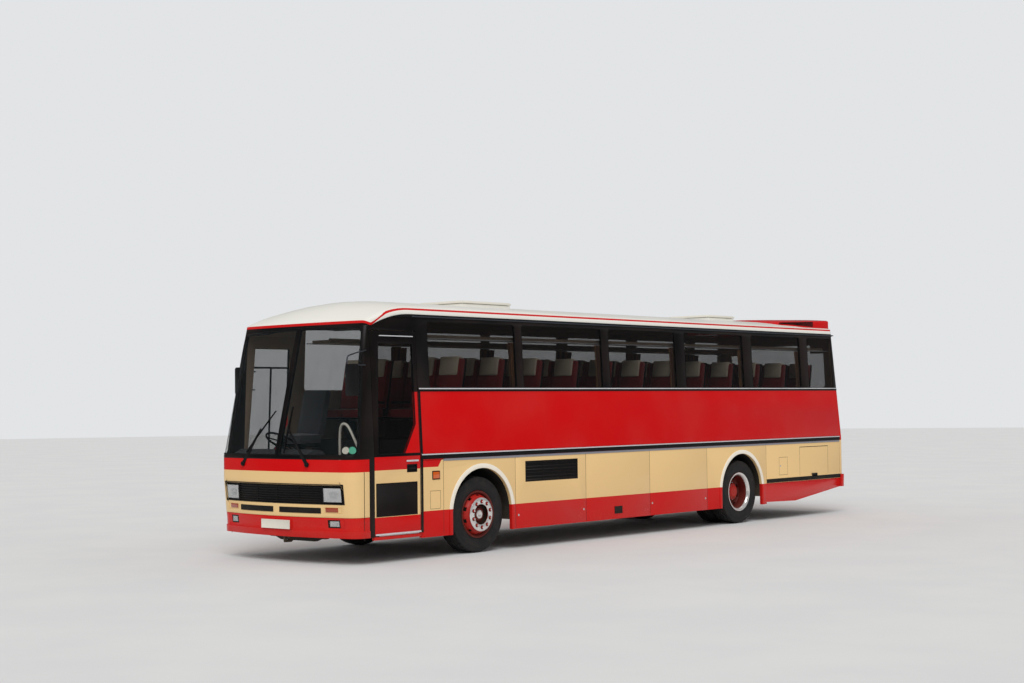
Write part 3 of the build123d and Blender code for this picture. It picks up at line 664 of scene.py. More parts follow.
class Finishes:
    """Every material of the coach, each made once."""

    def __init__(self) -> None:
        """Make all the materials."""
        self.skirt = Paint("cream_over_red_skirt", CREAM, (LOWER_RED, SASH), True).make()
        self.flap = Paint("cream_over_red_flap", CREAM, (LOWER_RED,)).make()
        vent = Band(BLACK, 0.885, 1.165, -2.595, -1.47)
        self.vent_flap = Paint("cream_over_red_vent_flap", CREAM, (LOWER_RED, vent)).make()
        self.rear_flap = Paint("cream_rear_flap", CREAM).make()
        self.mask = Paint("cream_mask", CREAM, (Band(RED, 1.13, 1.4),)).make()
        self.bumper = Paint("red_bumper", RED, dust=0.2).make()
        self.waist = Paint("red_waist", RED, dust=0.1).make()
        self.rear = Paint("rear_livery", CREAM, (Band(RED, 1.25, 2.105), Band(BLACK, 2.105, 4.0))).make()
        door = (
            Band(CREAM, 0.567, 1.14),
            Band(BLACK, 2.10, 3.4),
            Band(BLACK, 1.303, 1.34),
            Band(BLACK, 1.303, 3.4, rear=-5.338, lean=0.0584),
            Band(BLACK, 0.0, 3.4, front=-4.618),
        )
        self.door = Paint("door_livery", RED, door).make()
        self.roof = RoofPaint("white_roof", WHITE, dust=0.0, roughness=0.3).make()
        self.hatch = Paint("white_hatch", tint(222, 218, 206), dust=0.0, roughness=0.35).make()
        self.pod = Paint("red_pod", RED, dust=0.0).make()
        self.gloss_black = Paint("gloss_black", BLACK, (), False, 0.05, 0.28, 0.0, 0.14).make()
        self.windscreen = Glazing("clear_windscreen", tint(30, 40, 42), 0.16, 0.8, 0.05).make()
        self.tinted = Glazing("tinted_side_glass", tint(9, 8, 8), 0.40, 0.86, 0.02, 0.35).make()
        self.mirror_glass = Metal("mirror_glass", tint(210, 215, 220), 0.02, 0.0, 0.0).make()
        # Bright trim and chrome are only partly metallic; their diffuse near-white is painted reflection
        self.bright = Metal("bright_trim", tint(226, 226, 229), 0.22, 0.12, 0.1, 0.35).make()
        self.grey_rail = Metal("grey_rail", tint(150, 150, 160), 0.35, 0.1, 0.0, 0.4).make()
        self.chrome = Metal("chrome", tint(230, 228, 226), 0.14, 0.25, 0.15, 0.6).make()
        self.anodised = Metal("dark_anodised_rail", tint(92, 96, 104), 0.3, 0.1, 0.0).make()
        self.steel = Metal("worn_steel", tint(120, 116, 112), 0.4, 0.7, 0.6).make()
        self.rubber = Moulding("seal_rubber", tint(10, 10, 11), 0.6).make()
        self.plastic = Moulding("black_plastic", tint(12, 12, 14), 0.45).make()
        self.grey_plastic = Moulding("grey_dash_plastic", tint(58, 58, 60), 0.6, 420.0, 0.0005, 0.0).make()
        self.lining = Moulding("beige_lining", tint(122, 106, 90), 0.8, 300.0, 0.0006, 0.0).make()
        self.floor = Moulding("ribbed_floor_sheet", tint(44, 40, 38), 0.7, 160.0, 0.0008, 0.0).make()
        self.chassis = Moulding("chassis_black", tint(24, 24, 25), 0.6, 120.0, 0.0008, 0.9).make()
        self.engine = Moulding("engine_grey", tint(62, 66, 66), 0.55, 120.0, 0.0008, 1.0).make()
        self.red_wheel = Paint("red_wheel", tint(176, 10, 14), dust=0.45, roughness=0.25).make()
        # The wheel red again, darkened as painted shade for the rim well, washers, sunk hub flange and deep
        # rear disc
        self.dark_rim = Paint("dark_rim", tint(96, 12, 14), dust=0.35, roughness=0.35).make()
        self.clear_lens = Lens("clear_lens", tint(232, 234, 234), 0.42, 520.0).make()
        self.amber_lens = Lens("amber_lens", tint(240, 104, 8)).make()
        self.dark_amber_lens = Lens("dark_amber_lens", tint(176, 62, 14)).make()
        self.red_lens = Lens("red_lens", tint(170, 10, 10)).make()
        self.white_plate = Paint("white_plate", tint(232, 228, 214), dust=0.3, roughness=0.3).make()
        self.yellow_plate = Paint("yellow_plate", tint(236, 190, 20), dust=0.3, roughness=0.3).make()
        self.teal = Paint("teal_disc", tint(104, 208, 172), dust=0.0).make()
        reds = tint(150, 16, 22), tint(96, 12, 22), tint(196, 96, 60)
        self.moquette = Cloth("red_moquette", *reds).make()
        creams = tint(226, 214, 190), tint(216, 202, 176), tint(232, 222, 200)
        self.head_cloth = Cloth("cream_head_cloth", *creams).make()
        greys = tint(60, 60, 66), tint(44, 44, 50), tint(96, 96, 100)
        self.driver_cloth = Cloth("grey_driver_cloth", *greys).make()
        browns = tint(134, 98, 68), tint(92, 58, 44), tint(176, 120, 70)
        self.curtain = Cloth("striped_curtain", *browns, 1800.0, 52.0).make()
        self.tyre = Tyre("tyre_rubber").make()


# Mesh tools


def pick(*items: Piece) -> None:
    """Select these pieces only, in object mode, the first one active."""
    if bpy.context.mode != "OBJECT":
        bpy.ops.object.mode_set(mode="OBJECT")
    bpy.ops.object.select_all(action="DESELECT")
    for item in items:
        item.select_set(True)
    if items:
        bpy.context.view_layer.objects.active = items[0]


def apply_place(item: Piece) -> None:
    """Move a piece's place, turn and scale into its mesh."""
    pick(item)
    bpy.ops.object.transform_apply(location=True, rotation=True, scale=True)


class Part(Enum):
    """The parts of a mesh that can be selected: their name and the edit mode's switches."""

    EDGES = ("edges", (False, True, False))
    FACES = ("polygons", (False, False, True))


def open_with(item: Piece, part: Part, wanted: list[bool]) -> None:
    """Open a piece for editing with some of its edges or faces selected.

    Args:
        item: The piece, picked.
        part: Edges or faces.
        wanted: Whether each of them is selected.
    """
    kind, bpy.context.tool_settings.mesh_select_mode = part.value
    bpy.ops.object.mode_set(mode="EDIT")
    bpy.ops.mesh.select_all(action="DESELECT")
    bpy.ops.object.mode_set(mode="OBJECT")
    getattr(item.data, kind).foreach_set("select", wanted)
    bpy.ops.object.mode_set(mode="EDIT")


def choose_faces(item: Piece, rule: Callable[[Vector, Vector], bool]) -> None:
    """Open a piece for editing with some faces selected.

    Args:
        item: The piece.
        rule: Takes a face's centre and normal and says whether it is wanted.
    """
    pick(item)
    open_with(item, Part.FACES, [rule(face.center, face.normal) for face in item.data.polygons])


def choose_edges(item: Piece, rule: Callable[[Vector, Vector], bool]) -> None:
    """Open a piece for editing with some edges selected.

    Args:
        item: The piece.
        rule: Takes an edge's two ends and says whether it is wanted.
    """
    pick(item)
    points = item.data.vertices
    wanted = [rule(points[edge.vertices[0]].co, points[edge.vertices[1]].co) for edge in item.data.edges]
    open_with(item, Part.EDGES, wanted)


def choose_all(item: Piece) -> None:
    """Open a piece for editing with all of it selected."""
    pick(item)
    bpy.ops.object.mode_set(mode="EDIT")
    bpy.ops.mesh.select_all(action="SELECT")


def close_edit() -> None:
    """Go back to object mode."""
    bpy.ops.object.mode_set(mode="OBJECT")


def finish_modifier(item: Piece, kind: str, **settings: Any) -> None:
    """Add a modifier and apply it at once.

    Args:
        item: The piece.
        kind: The modifier's type.
        settings: Its properties.
    """
    pick(item)
    made = item.modifiers.new(kind.lower(), kind)
    for name, value in settings.items():
        setattr(made, name, value)
    bpy.ops.object.modifier_apply(modifier=made.name)


def round_edges(item: Piece, width: float, segments: int = 2, clamp: bool = True) -> None:
    """Round a piece's sharp edges."""
    finish_modifier(
        item, "BEVEL", width=width, segments=segments, limit_method="ANGLE", angle_limit=SHARP,
        use_clamp_overlap=clamp, harden_normals=False,
    )


def block(
    name: str,
    low: Point,
    high: Point,
    edge: float = 0.0,
    cuts: Cuts = (),
    segments: int = 2,
) -> Piece:
    """Add a box between two corners, cut across and with rounded edges.

    Args:
        name: The piece's name.
        low: Lowest corner.
        high: Highest corner.
        edge: Radius of its edges.
        cuts: Axis number and number of cuts across that axis.
        segments: Steps of each rounded edge.

    Returns:
        The piece.
    """
    pick()
    middle = [(start + end) / 2 for start, end in zip(low, high)]
    size = [end - start for start, end in zip(low, high)]
    bpy.ops.mesh.primitive_cube_add(size=1.0, location=middle, scale=size)
    item = bpy.context.object
    item.name = name
    apply_place(item)
    for axis, count in cuts:
        choose_edges(item, lambda start, end, axis=axis: abs((end - start).normalized()[axis]) > 0.99)
        bpy.ops.mesh.subdivide(number_cuts=count)
        close_edit()
    if edge:
        round_edges(item, edge, segments)
    return item


def turned(name: str, profile: Profile, steps: int = 64, ring: bool = False) -> Piece:
    """Turn an outline about the X axis: a circle is extruded and widened step by step.

    Args:
        name: The piece's name.
        profile: Offset along the axis and radius of each step; a radius of 0 closes the end.
        steps: Corners of the circle.
        ring: Whether the outline closes on itself.

    Returns:
        The piece, closed, about the X axis through the origin.
    """
    pick()
    offset, radius = profile[0]
    start = (0, 0, offset)
    bpy.ops.mesh.primitive_circle_add(vertices=steps, radius=radius, fill_type="NOTHING", location=start)
    item = bpy.context.object
    item.name = name
    apply_place(item)
    bpy.context.tool_settings.mesh_select_mode = Part.EDGES.value[1]
    choose_all(item)
    rows = list(profile[1:]) + ([profile[0]] if ring else [])
    for next_offset, next_radius in rows:
        bpy.ops.mesh.extrude_region_move(TRANSFORM_OT_translate={"value": (0, 0, next_offset - offset)})
        if next_radius == 0:
            bpy.ops.mesh.merge(type="CENTER")
            break
        share = next_radius / radius
        bpy.ops.transform.resize(value=(share, share, 1), center_override=(0, 0, next_offset))
        offset, radius = next_offset, next_radius
    bpy.ops.mesh.select_all(action="SELECT")
    bpy.ops.mesh.remove_doubles(threshold=WELD)
    bpy.ops.mesh.select_all(action="SELECT")
    if not ring:
        bpy.ops.mesh.fill_holes(sides=0)
        bpy.ops.mesh.select_all(action="SELECT")
    bpy.ops.mesh.normals_make_consistent(inside=False)
    close_edit()
    item.rotation_euler = (0, math.pi / 2, 0)
    apply_place(item)
    return item


def tube(name: str, points: Sequence[Point], radius: float, smooth: bool = True, sides: int = 2) -> Piece:
    """Bend a round rod along points.

    Args:
        name: The piece's name.
        points: Its line.
        radius: Its radius.
        smooth: Whether the line is a smooth curve.
        sides: Steps of each quarter of its section.

    Returns:
        The piece.
    """
    curve = bpy.data.curves.new(name, "CURVE")
    curve.dimensions = "3D"
    curve.bevel_depth = radius
    curve.bevel_resolution = sides
    curve.use_fill_caps = True
    curve.resolution_u = 6
    line = curve.splines.new("NURBS" if smooth else "POLY")
    line.points.add(len(points) - 1)
    for knot, point in zip(line.points, points):
        knot.co = (*point, 1.0)
    if smooth:
        line.order_u = 3
        line.use_endpoint_u = True
    item = bpy.data.objects.new(name, curve)
    bpy.context.scene.collection.objects.link(item)
    pick(item)
    bpy.ops.object.convert(target="MESH")
    return item


def moved(item: Piece, matrix: Matrix) -> Piece:
    """Change a piece's mesh by a matrix and return the piece."""
    item.data.transform(matrix)
    if matrix.determinant() < 0:
        item.data.flip_normals()
    return item


def copied(item: Piece, matrix: Matrix, name: Optional[str] = None) -> Piece:
    """Copy a piece with its own mesh.

    Args:
        item: The piece.
        matrix: Where the copy goes.
        name: The copy's name.

    Returns:
        The copy.
    """
    twin = item.copy()
    twin.data = item.data.copy()
    twin.name = name or item.name
    bpy.context.scene.collection.objects.link(twin)
    return moved(twin, matrix)


def joined(name: str, items: Sequence[Piece]) -> Piece:
    """Join pieces into one and name it."""
    pick(*items)
    if len(items) > 1:
        bpy.ops.object.join()
    items[0].name = name
    items[0].data.name = name
    return items[0]


MIRROR = Matrix.Scale(-1, 4, (1, 0, 0))


def both_sides(parts: list[Piece]) -> list[Piece]:
    """Return parts made for the nearside with their mirrored copies."""
    return parts + [copied(part, MIRROR) for part in parts]


def bar(name: str, start: Point, end: Point, wide: float, deep: float, taper: float, edge: float) -> Piece:
    """Make a straight bar between two points, wide across and deep towards Y.

    Args:
        name: The piece's name.
        start: Where it begins.
        end: Where it ends.
        wide: Width at its start.
        deep: Depth.
        taper: Width and depth at its end, as a share of the start's.
        edge: Radius of its edges.

    Returns:
        The piece.
    """
    run = Vector(end) - Vector(start)
    item = block(name, (0, -wide / 2, -deep / 2), (run.length, wide / 2, deep / 2))
    if taper != 1.0:
        choose_faces(item, lambda centre, normal: normal.x > 0.9)
        bpy.ops.transform.resize(value=(1, taper, taper), center_override=(run.length, 0, 0))
        close_edit()
    round_edges(item, edge)
    along = run.normalized()
    inward = Vector((0, 1, 0))
    across = inward.cross(along).normalized()
    inward = along.cross(across)
    turn = Matrix((along, across, inward)).transposed().to_4x4()
    return moved(item, Matrix.Translation(start) @ turn)


def at(x: float, y: float, z: float) -> Matrix:
    """Return a move to a place."""
    return Matrix.Translation((x, y, z))


def rotation(degrees: float, axis: str) -> Matrix:
    """Return a turn about an axis."""
    return Matrix.Rotation(math.radians(degrees), 4, axis)


def coat(item: Piece, material: Shade, angle: float = 35.0) -> Piece:
    """Give a piece one material and smooth shading, and return it."""
    item.data.materials.clear()
    item.data.materials.append(material)
    pick(item)
    bpy.ops.object.shade_smooth_by_angle(angle=math.radians(angle))
    return item


def settle(item: Piece, slot: Slot, *nodes: str, body: str = "coach") -> Piece:
    """Fix a finished piece to the body of the CAD nodes that it stands for.

    Args:
        item: The piece.
        slot: The record's finish; not used.
        nodes: CAD nodes that it stands for.
        body: The body that carries a piece that stands for no node.

    Returns:
        The piece.
    """
    body = BODY_OF[nodes[0]] if nodes else body
    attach(item, body)
    if nodes:
        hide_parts(*nodes)
    LOG.info("%s on %s, %d faces", item.name, body, len(item.data.polygons))
    return item


def taken_over(node: str, name: str, edge: float = 0.0) -> Piece:
    """Copy a CAD node as one clean mesh with rounded edges.

    Args:
        node: The CAD node.
        name: The copy's name.
        edge: Radius of its edges.

    Returns:
        The copy.
    """
    item = bpy.data.objects.new(name, frame["nodes"][node].data.copy())
    bpy.context.scene.collection.objects.link(item)
    item.data.materials.clear()
    choose_all(item)
    bpy.ops.mesh.remove_doubles(threshold=CAD_WELD)
    bpy.ops.mesh.select_all(action="SELECT")
    bpy.ops.mesh.dissolve_limited(angle_limit=math.radians(0.4))
    close_edit()
    if item.data.has_custom_normals:
        bpy.ops.mesh.customdata_custom_splitnormals_clear()
    if edge:
        round_edges(item, edge, 2, False)
    return item


def keep(node: str, material: Shade) -> None:
    """Leave a CAD node's shape and give it a material."""
    mesh = frame["nodes"][node].data
    mesh.materials.clear()
    mesh.materials.append(material)
    LOG.info("%s keeps its shape", node)


def held(value: float, low: float = 0.0, high: float = 1.0) -> float:
    """Return a value kept between two limits."""
    return min(max(value, low), high)


@dataclass(frozen=True)
class Skin:
    """The body's outer skin: height, half width, nose, bow, corner radius and tail of each row."""

    rows: tuple[tuple[float, ...], ...] = (
        (0.25, 1.25, -5.87, 0.08, 0.2, 5.88),
        (0.6, 1.25, -5.9, 0.08, 0.2, 5.9),
        (1.3, 1.25, -5.9, 0.08, 0.2, 5.9),
        (3.4, 1.142, -5.395, 0.038, 0.1, 5.744),
    )
    tuck_depth: float = 0.055
    tuck_half: float = 1.05
    tuck_top: float = 1.02
    tuck_rear: float = -5.60

    def row(self, height: float) -> tuple[float, ...]:
        """Return the row's sizes at any height."""
        height = held(height, self.rows[0][0], self.rows[-1][0])
        for low, high in zip(self.rows, self.rows[1:]):
            if height <= high[0]:
                share = (height - low[0]) / (high[0] - low[0])
                return tuple(start + (end - start) * share for start, end in zip(low, high))
        return self.rows[-1]

    def front(self, x: float, height: float) -> float:
        """Return the skin's y at the front."""
        _, half, nose, bow, corner, _ = self.row(height)
        knee = half - corner
        reach = (knee * knee + bow * bow) / (2 * bow)
        if abs(x) <= knee:
            return nose + reach - math.sqrt(reach * reach - x * x)
        over = min(abs(x) - knee, corner)
        return nose + bow + corner - math.sqrt(max(corner * corner - over * over, 0.0))

    def around(self, share: float, height: float, start: float, stop: float, depth: float) -> Point:
        """Return a point on the nearside half of the front, going round the corner.

        Args:
            share: How far along, from 0 at the start to 1 at the end.
            height: Its height.
            start: x where the line starts.
            stop: y where the line ends on the corner.
            depth: How far in from the skin it lies.

        Returns:
            The point.
        """
        _, half, nose, bow, corner, _ = self.row(height)
        knee = half - corner
        pivot = nose + bow + corner
        whole = knee - start + corner * math.acos(min((pivot - stop) / corner, 1.0))
        run = share * whole - (knee - start)
        if run <= 0:
            return (knee + run, self.front(knee + run, height) + depth, height)
        turn, reach = run / corner, corner - depth
        return (knee + reach * math.sin(turn), pivot - reach * math.cos(turn), height)

    def side(self, height: float) -> float:
        """Return the skin's x on the nearside."""
        return self.row(height)[1]

    def rear(self, height: float) -> float:
        """Return the skin's y at the rear."""
        return self.row(height)[5]

    def tuck(self, item: Piece) -> Piece:
        """Draw the lower front in towards its corners, as the pressed panels are."""
        for vertex in item.data.vertices:
            x, y, z = vertex.co
            share = min(abs(x) / self.tuck_half, 1.0) ** 2 * held((self.tuck_rear - y) / 0.2)
            vertex.co.y += self.tuck_depth * share * held((self.tuck_top - z) / 0.5)
        return item

    def wrap_front(self, item: Piece) -> Piece:
        """Bend a piece made on the plane y = 0 onto the front skin."""
        for vertex in item.data.vertices:
            vertex.co.y += self.front(vertex.co.x, vertex.co.z)
        return item

    def wrap_side(self, item: Piece) -> Piece:
        """Move a piece made on the plane x = 0 onto the nearside skin."""
        for vertex in item.data.vertices:
            vertex.co.x += self.side(vertex.co.z)
        return item

    def wrap_rear(self, item: Piece) -> Piece:
        """Move a piece made on the plane y = 0 onto the rear skin."""
        for vertex in item.data.vertices:
            vertex.co.y += self.rear(vertex.co.z)
        return item


SKIN = Skin()


def on_front(item: Piece, material: Shade, angle: float = 35.0) -> Piece:
    """Bend a piece onto the front skin and give it its material."""
    return coat(SKIN.wrap_front(item), material, angle)


def on_side(item: Piece, material: Shade) -> Piece:
    """Lay a piece on the nearside skin and give it its material."""
    return coat(SKIN.wrap_side(item), material)


def on_rear(item: Piece, material: Shade) -> Piece:
    """Lay a piece on the rear skin and give it its material."""
    return coat(SKIN.wrap_rear(item), material)


def tray(
    name: str,
    low: Point,
    high: Point,
    rim: float,
    deep: Point,
    edge: float = 0.0,
    cuts: Cuts = (),
) -> Piece:
    """Make a shallow tray: a box with its open face set in and pushed down.

    Args:
        name: The piece's name.
        low: Lowest corner.
        high: Highest corner.
        rim: Width of the rim.
        deep: Way and depth of the hollow.
        edge: Radius of its edges.
        cuts: Axis number and number of cuts across that axis.

    Returns:
        The piece.
    """
    item = block(name, low, high, 0.0, cuts)
    out = -Vector(deep).normalized()
    choose_faces(item, lambda centre, normal: normal.dot(out) > 0.9)
    bpy.ops.mesh.inset(thickness=rim, depth=0.0)
    bpy.ops.mesh.extrude_region_move(TRANSFORM_OT_translate={"value": deep})
    close_edit()
    if edge:
        round_edges(item, edge)
    return item


def ring_of(part: Piece, count: int, name: str) -> Piece:
    """Repeat a part about the X axis and join the parts."""
    parts = [part]
    for index in range(1, count):
        parts.append(copied(part, Matrix.Rotation(2 * math.pi * index / count, 4, "X")))
    return joined(name, parts)


# Sub-assemblies


@dataclass(frozen=True)
class ScreenShape:
    """Opening of one half of the windscreen, which wraps round the corner to a slanted edge."""

    near: float = 0.034
    low: float = 1.336
    high: float = 2.903
    foot_end: float = -5.66
    top_end: float = -5.46

    def point(self, share: float, up: float, depth: float) -> Point:
        """Return a point of the opening from its share across and up."""
        height = self.low + (self.high - self.low) * up
        stop = self.foot_end + (self.top_end - self.foot_end) * up
        return SKIN.around(share, height, self.near, stop, depth)


SCREEN = ScreenShape()


@dataclass
class BodyShell:
    """Painted panels, doors, flaps, roof and trims, taken from the CAD solids with rounded edges."""

    finishes: Finishes
    edge: float = 0.0022
    pod_half: float = 1.092
    pod_rows: tuple[Point, ...] = ((4.25, 3.172, 3.300), (4.50, 3.262, 3.332), (5.738, 3.318, 3.366))
    pod_louvres: int = 8
    core_y: tuple[float, float] = (-4.9, 5.0)
    core_z: tuple[float, float] = (1.3, 2.3)
    facing_core: float = -0.35

    def line_inside(self, item: Piece) -> None:
        """Give the faces that look towards the coach's core the lining."""
        item.data.materials.append(self.finishes.lining)
        for face in item.data.polygons:
            core = Vector((0, held(face.center.y, *self.core_y), held(face.center.z, *self.core_z)))
            if face.normal.dot((face.center - core).normalized()) < self.facing_core:
                face.material_index = 1

    def panel(
        self, node: str, material: Shade, slot: Slot, lined: bool = True, edge: Optional[float] = None
    ) -> None:
        """Dress one CAD panel.

        Args:
            node: The CAD node.
            material: Its paint.
            slot: The record's finish.
            lined: Whether its inner face has the lining.
            edge: Radius of its edges, if not the usual one.
        """
        item = taken_over(node, node + "_panel", self.edge if edge is None else edge)
        coat(item, material)
        if lined:
            self.line_inside(item)
        settle(item, slot, node)

    def build(self) -> None:
        """Dress all the panels."""
        paints = self.finishes
        both, red = Slot.CREAM_RED, Slot.RED
        self.front_panel("front_mask", paints.mask, both)
        self.front_panel("front_bumper", paints.bumper, red)
        self.panel("rear_bumper", paints.bumper, red, False)
        self.panel("waist_panels", paints.waist, red)
        self.panel("skirt_panels", paints.skirt, both)
        for node in ("entry_door", "cab_side"):
            self.panel(node, paints.door, both)
        self.panel("window_frames", paints.gloss_black, Slot.BLACK)
        self.screen_frame()
        self.panel("roof", paints.roof, Slot.WHITE)
        self.panel("rear_wall", paints.rear, both)
        self.panel("boot_lid", paints.flap, both, False)
        for node in ("front_hatch", "rear_hatch"):
            self.panel(node, paints.hatch, Slot.WHITE, False)
        self.pod()
        self.panel("side_trims", paints.rubber, Slot.PLASTIC, False, 0.004)
        for hand in Hand:
            for flap, paint in (
                ("vent_flap", paints.vent_flap), ("locker_flap_front", paints.flap),
                ("locker_flap_mid", paints.flap), ("rear_flap", paints.rear_flap),
            ):
                self.panel(f"{flap}_{hand.word}", paint, both, False)
        self.trim_lines()

    def front_panel(self, node: str, material: Shade, slot: Slot) -> None:
        """Dress a lower front panel, cut finely enough to be drawn in towards its corners."""
        item = taken_over(node, node + "_panel")
        for height in (0.40, 0.52, 0.60, 0.70, 0.80, 0.90, 1.02):
            choose_all(item)
            bpy.ops.mesh.bisect(plane_co=(0, 0, height), plane_no=(0, 0, 1))
            close_edit()
        round_edges(item, self.edge, 2, False)
        settle(coat(SKIN.tuck(item), material), slot, node)

    def screen_frame(self) -> None:
        """Black windscreen surround, cut open round both corners."""
        item = taken_over("windscreen_frame", "windscreen_frame_panel")
        low, high = SCREEN.low + 0.002, SCREEN.high
        cutter = block("cutter", (SCREEN.near + 0.002, -6.1, low), (1.4, SCREEN.top_end, high))
        for vertex in cutter.data.vertices:
            if vertex.co.y > -6.0 and vertex.co.z < 2.0:
                vertex.co.y = SCREEN.foot_end
        choose_edges(cutter, lambda start, end: min(start.y, end.y) > -6.0 and abs(start.z - end.z) < NEAR)
        bpy.ops.mesh.bevel(offset=0.05, segments=6)
        close_edit()
        for tool in (cutter, copied(cutter, MIRROR)):
            finish_modifier(item, "BOOLEAN", operation="DIFFERENCE", object=tool, solver="EXACT")
            bpy.data.objects.remove(tool)
        round_edges(item, self.edge, 2, False)
        settle(coat(item, self.finishes.gloss_black), Slot.BLACK, "windscreen_frame")

    def pod(self) -> None:
        """Air-conditioning pod right across the rear of the roof, with a grille in each side."""
        half, rows = self.pod_half, self.pod_rows
        front, rear = rows[0][0], rows[-1][0]

        def narrow(piece: Piece) -> Piece:
            """Taper a piece in plan towards the front of the pod."""
            for vertex in piece.data.vertices:
                vertex.co.x *= 0.80 + 0.20 * held((vertex.co.y - front) / 0.6)
            return piece

        item = block("pod", (-half, front, 3.10), (half, rear, 3.4), 0.0, ((0, 15), (1, 6)))
        second = sorted({round(vertex.co.y, 4) for vertex in item.data.vertices})[1]
        for vertex in item.data.vertices:
            if abs(vertex.co.y - second) < NEAR:
                vertex.co.y = rows[1][0]
            if vertex.co.z > 3.2:
                for first, last in zip(rows, rows[1:]):
                    if first[0] - NEAR <= vertex.co.y <= last[0] + NEAR:
                        share = (vertex.co.y - first[0]) / (last[0] - first[0])
                        edge, crown = (a + (b - a) * share for a, b in zip(first[1:], last[1:]))
                        vertex.co.z = crown - (crown - edge) * (abs(vertex.co.x) / half) ** 2.2
        round_edges(narrow(item), 0.030, 3)
        parts = [coat(item, self.finishes.pod)]
        y0, y1 = 4.38, 5.20
        for index in range(self.pod_louvres):
            share = index / self.pod_louvres
            low, high = (half - 0.004, y0 + share * 0.02, 0.0), (half + 0.003, y1, 1.0)
            line = block("louvre", low, high, 0.0, ((1, 7),))
            for vertex in line.data.vertices:
                along = (vertex.co.y - y0) / (y1 - y0)
                foot, head = 3.222 - 0.028 * along, 3.248 + 0.040 * along
                step = share if vertex.co.z < 0.5 else share + 0.085
                vertex.co.z = foot + (head - foot) * step + 0.012 * (1 - along)
            parts += both_sides([coat(narrow(line), self.finishes.rubber)])
        settle(joined("aircon_pod_panel", parts), Slot.RED, "aircon_pod")

    def trim_lines(self) -> None:
        """Bright half-round lines on the waist, sill and gutter trims."""
        rows = (
            ("waist_bright_line", -4.592, 5.745, 1.303, 1.3185, 0.0086, self.finishes.bright),
            ("sill_bright_line", -4.592, 5.745, 2.1335, 2.149, 0.0086, self.finishes.bright),
            ("gutter_line", -4.66, 5.745, 3.046, 3.064, 0.0088, self.finishes.anodised),
        )
        for name, start, end, low, high, out, material in rows:
            strip = block(name, (out - 0.004, start, low), (out + 0.0045, end, high), 0.004, segments=3)
            on_side(strip, material)
            settle(joined(name, both_sides([strip])), Slot.BRIGHT)


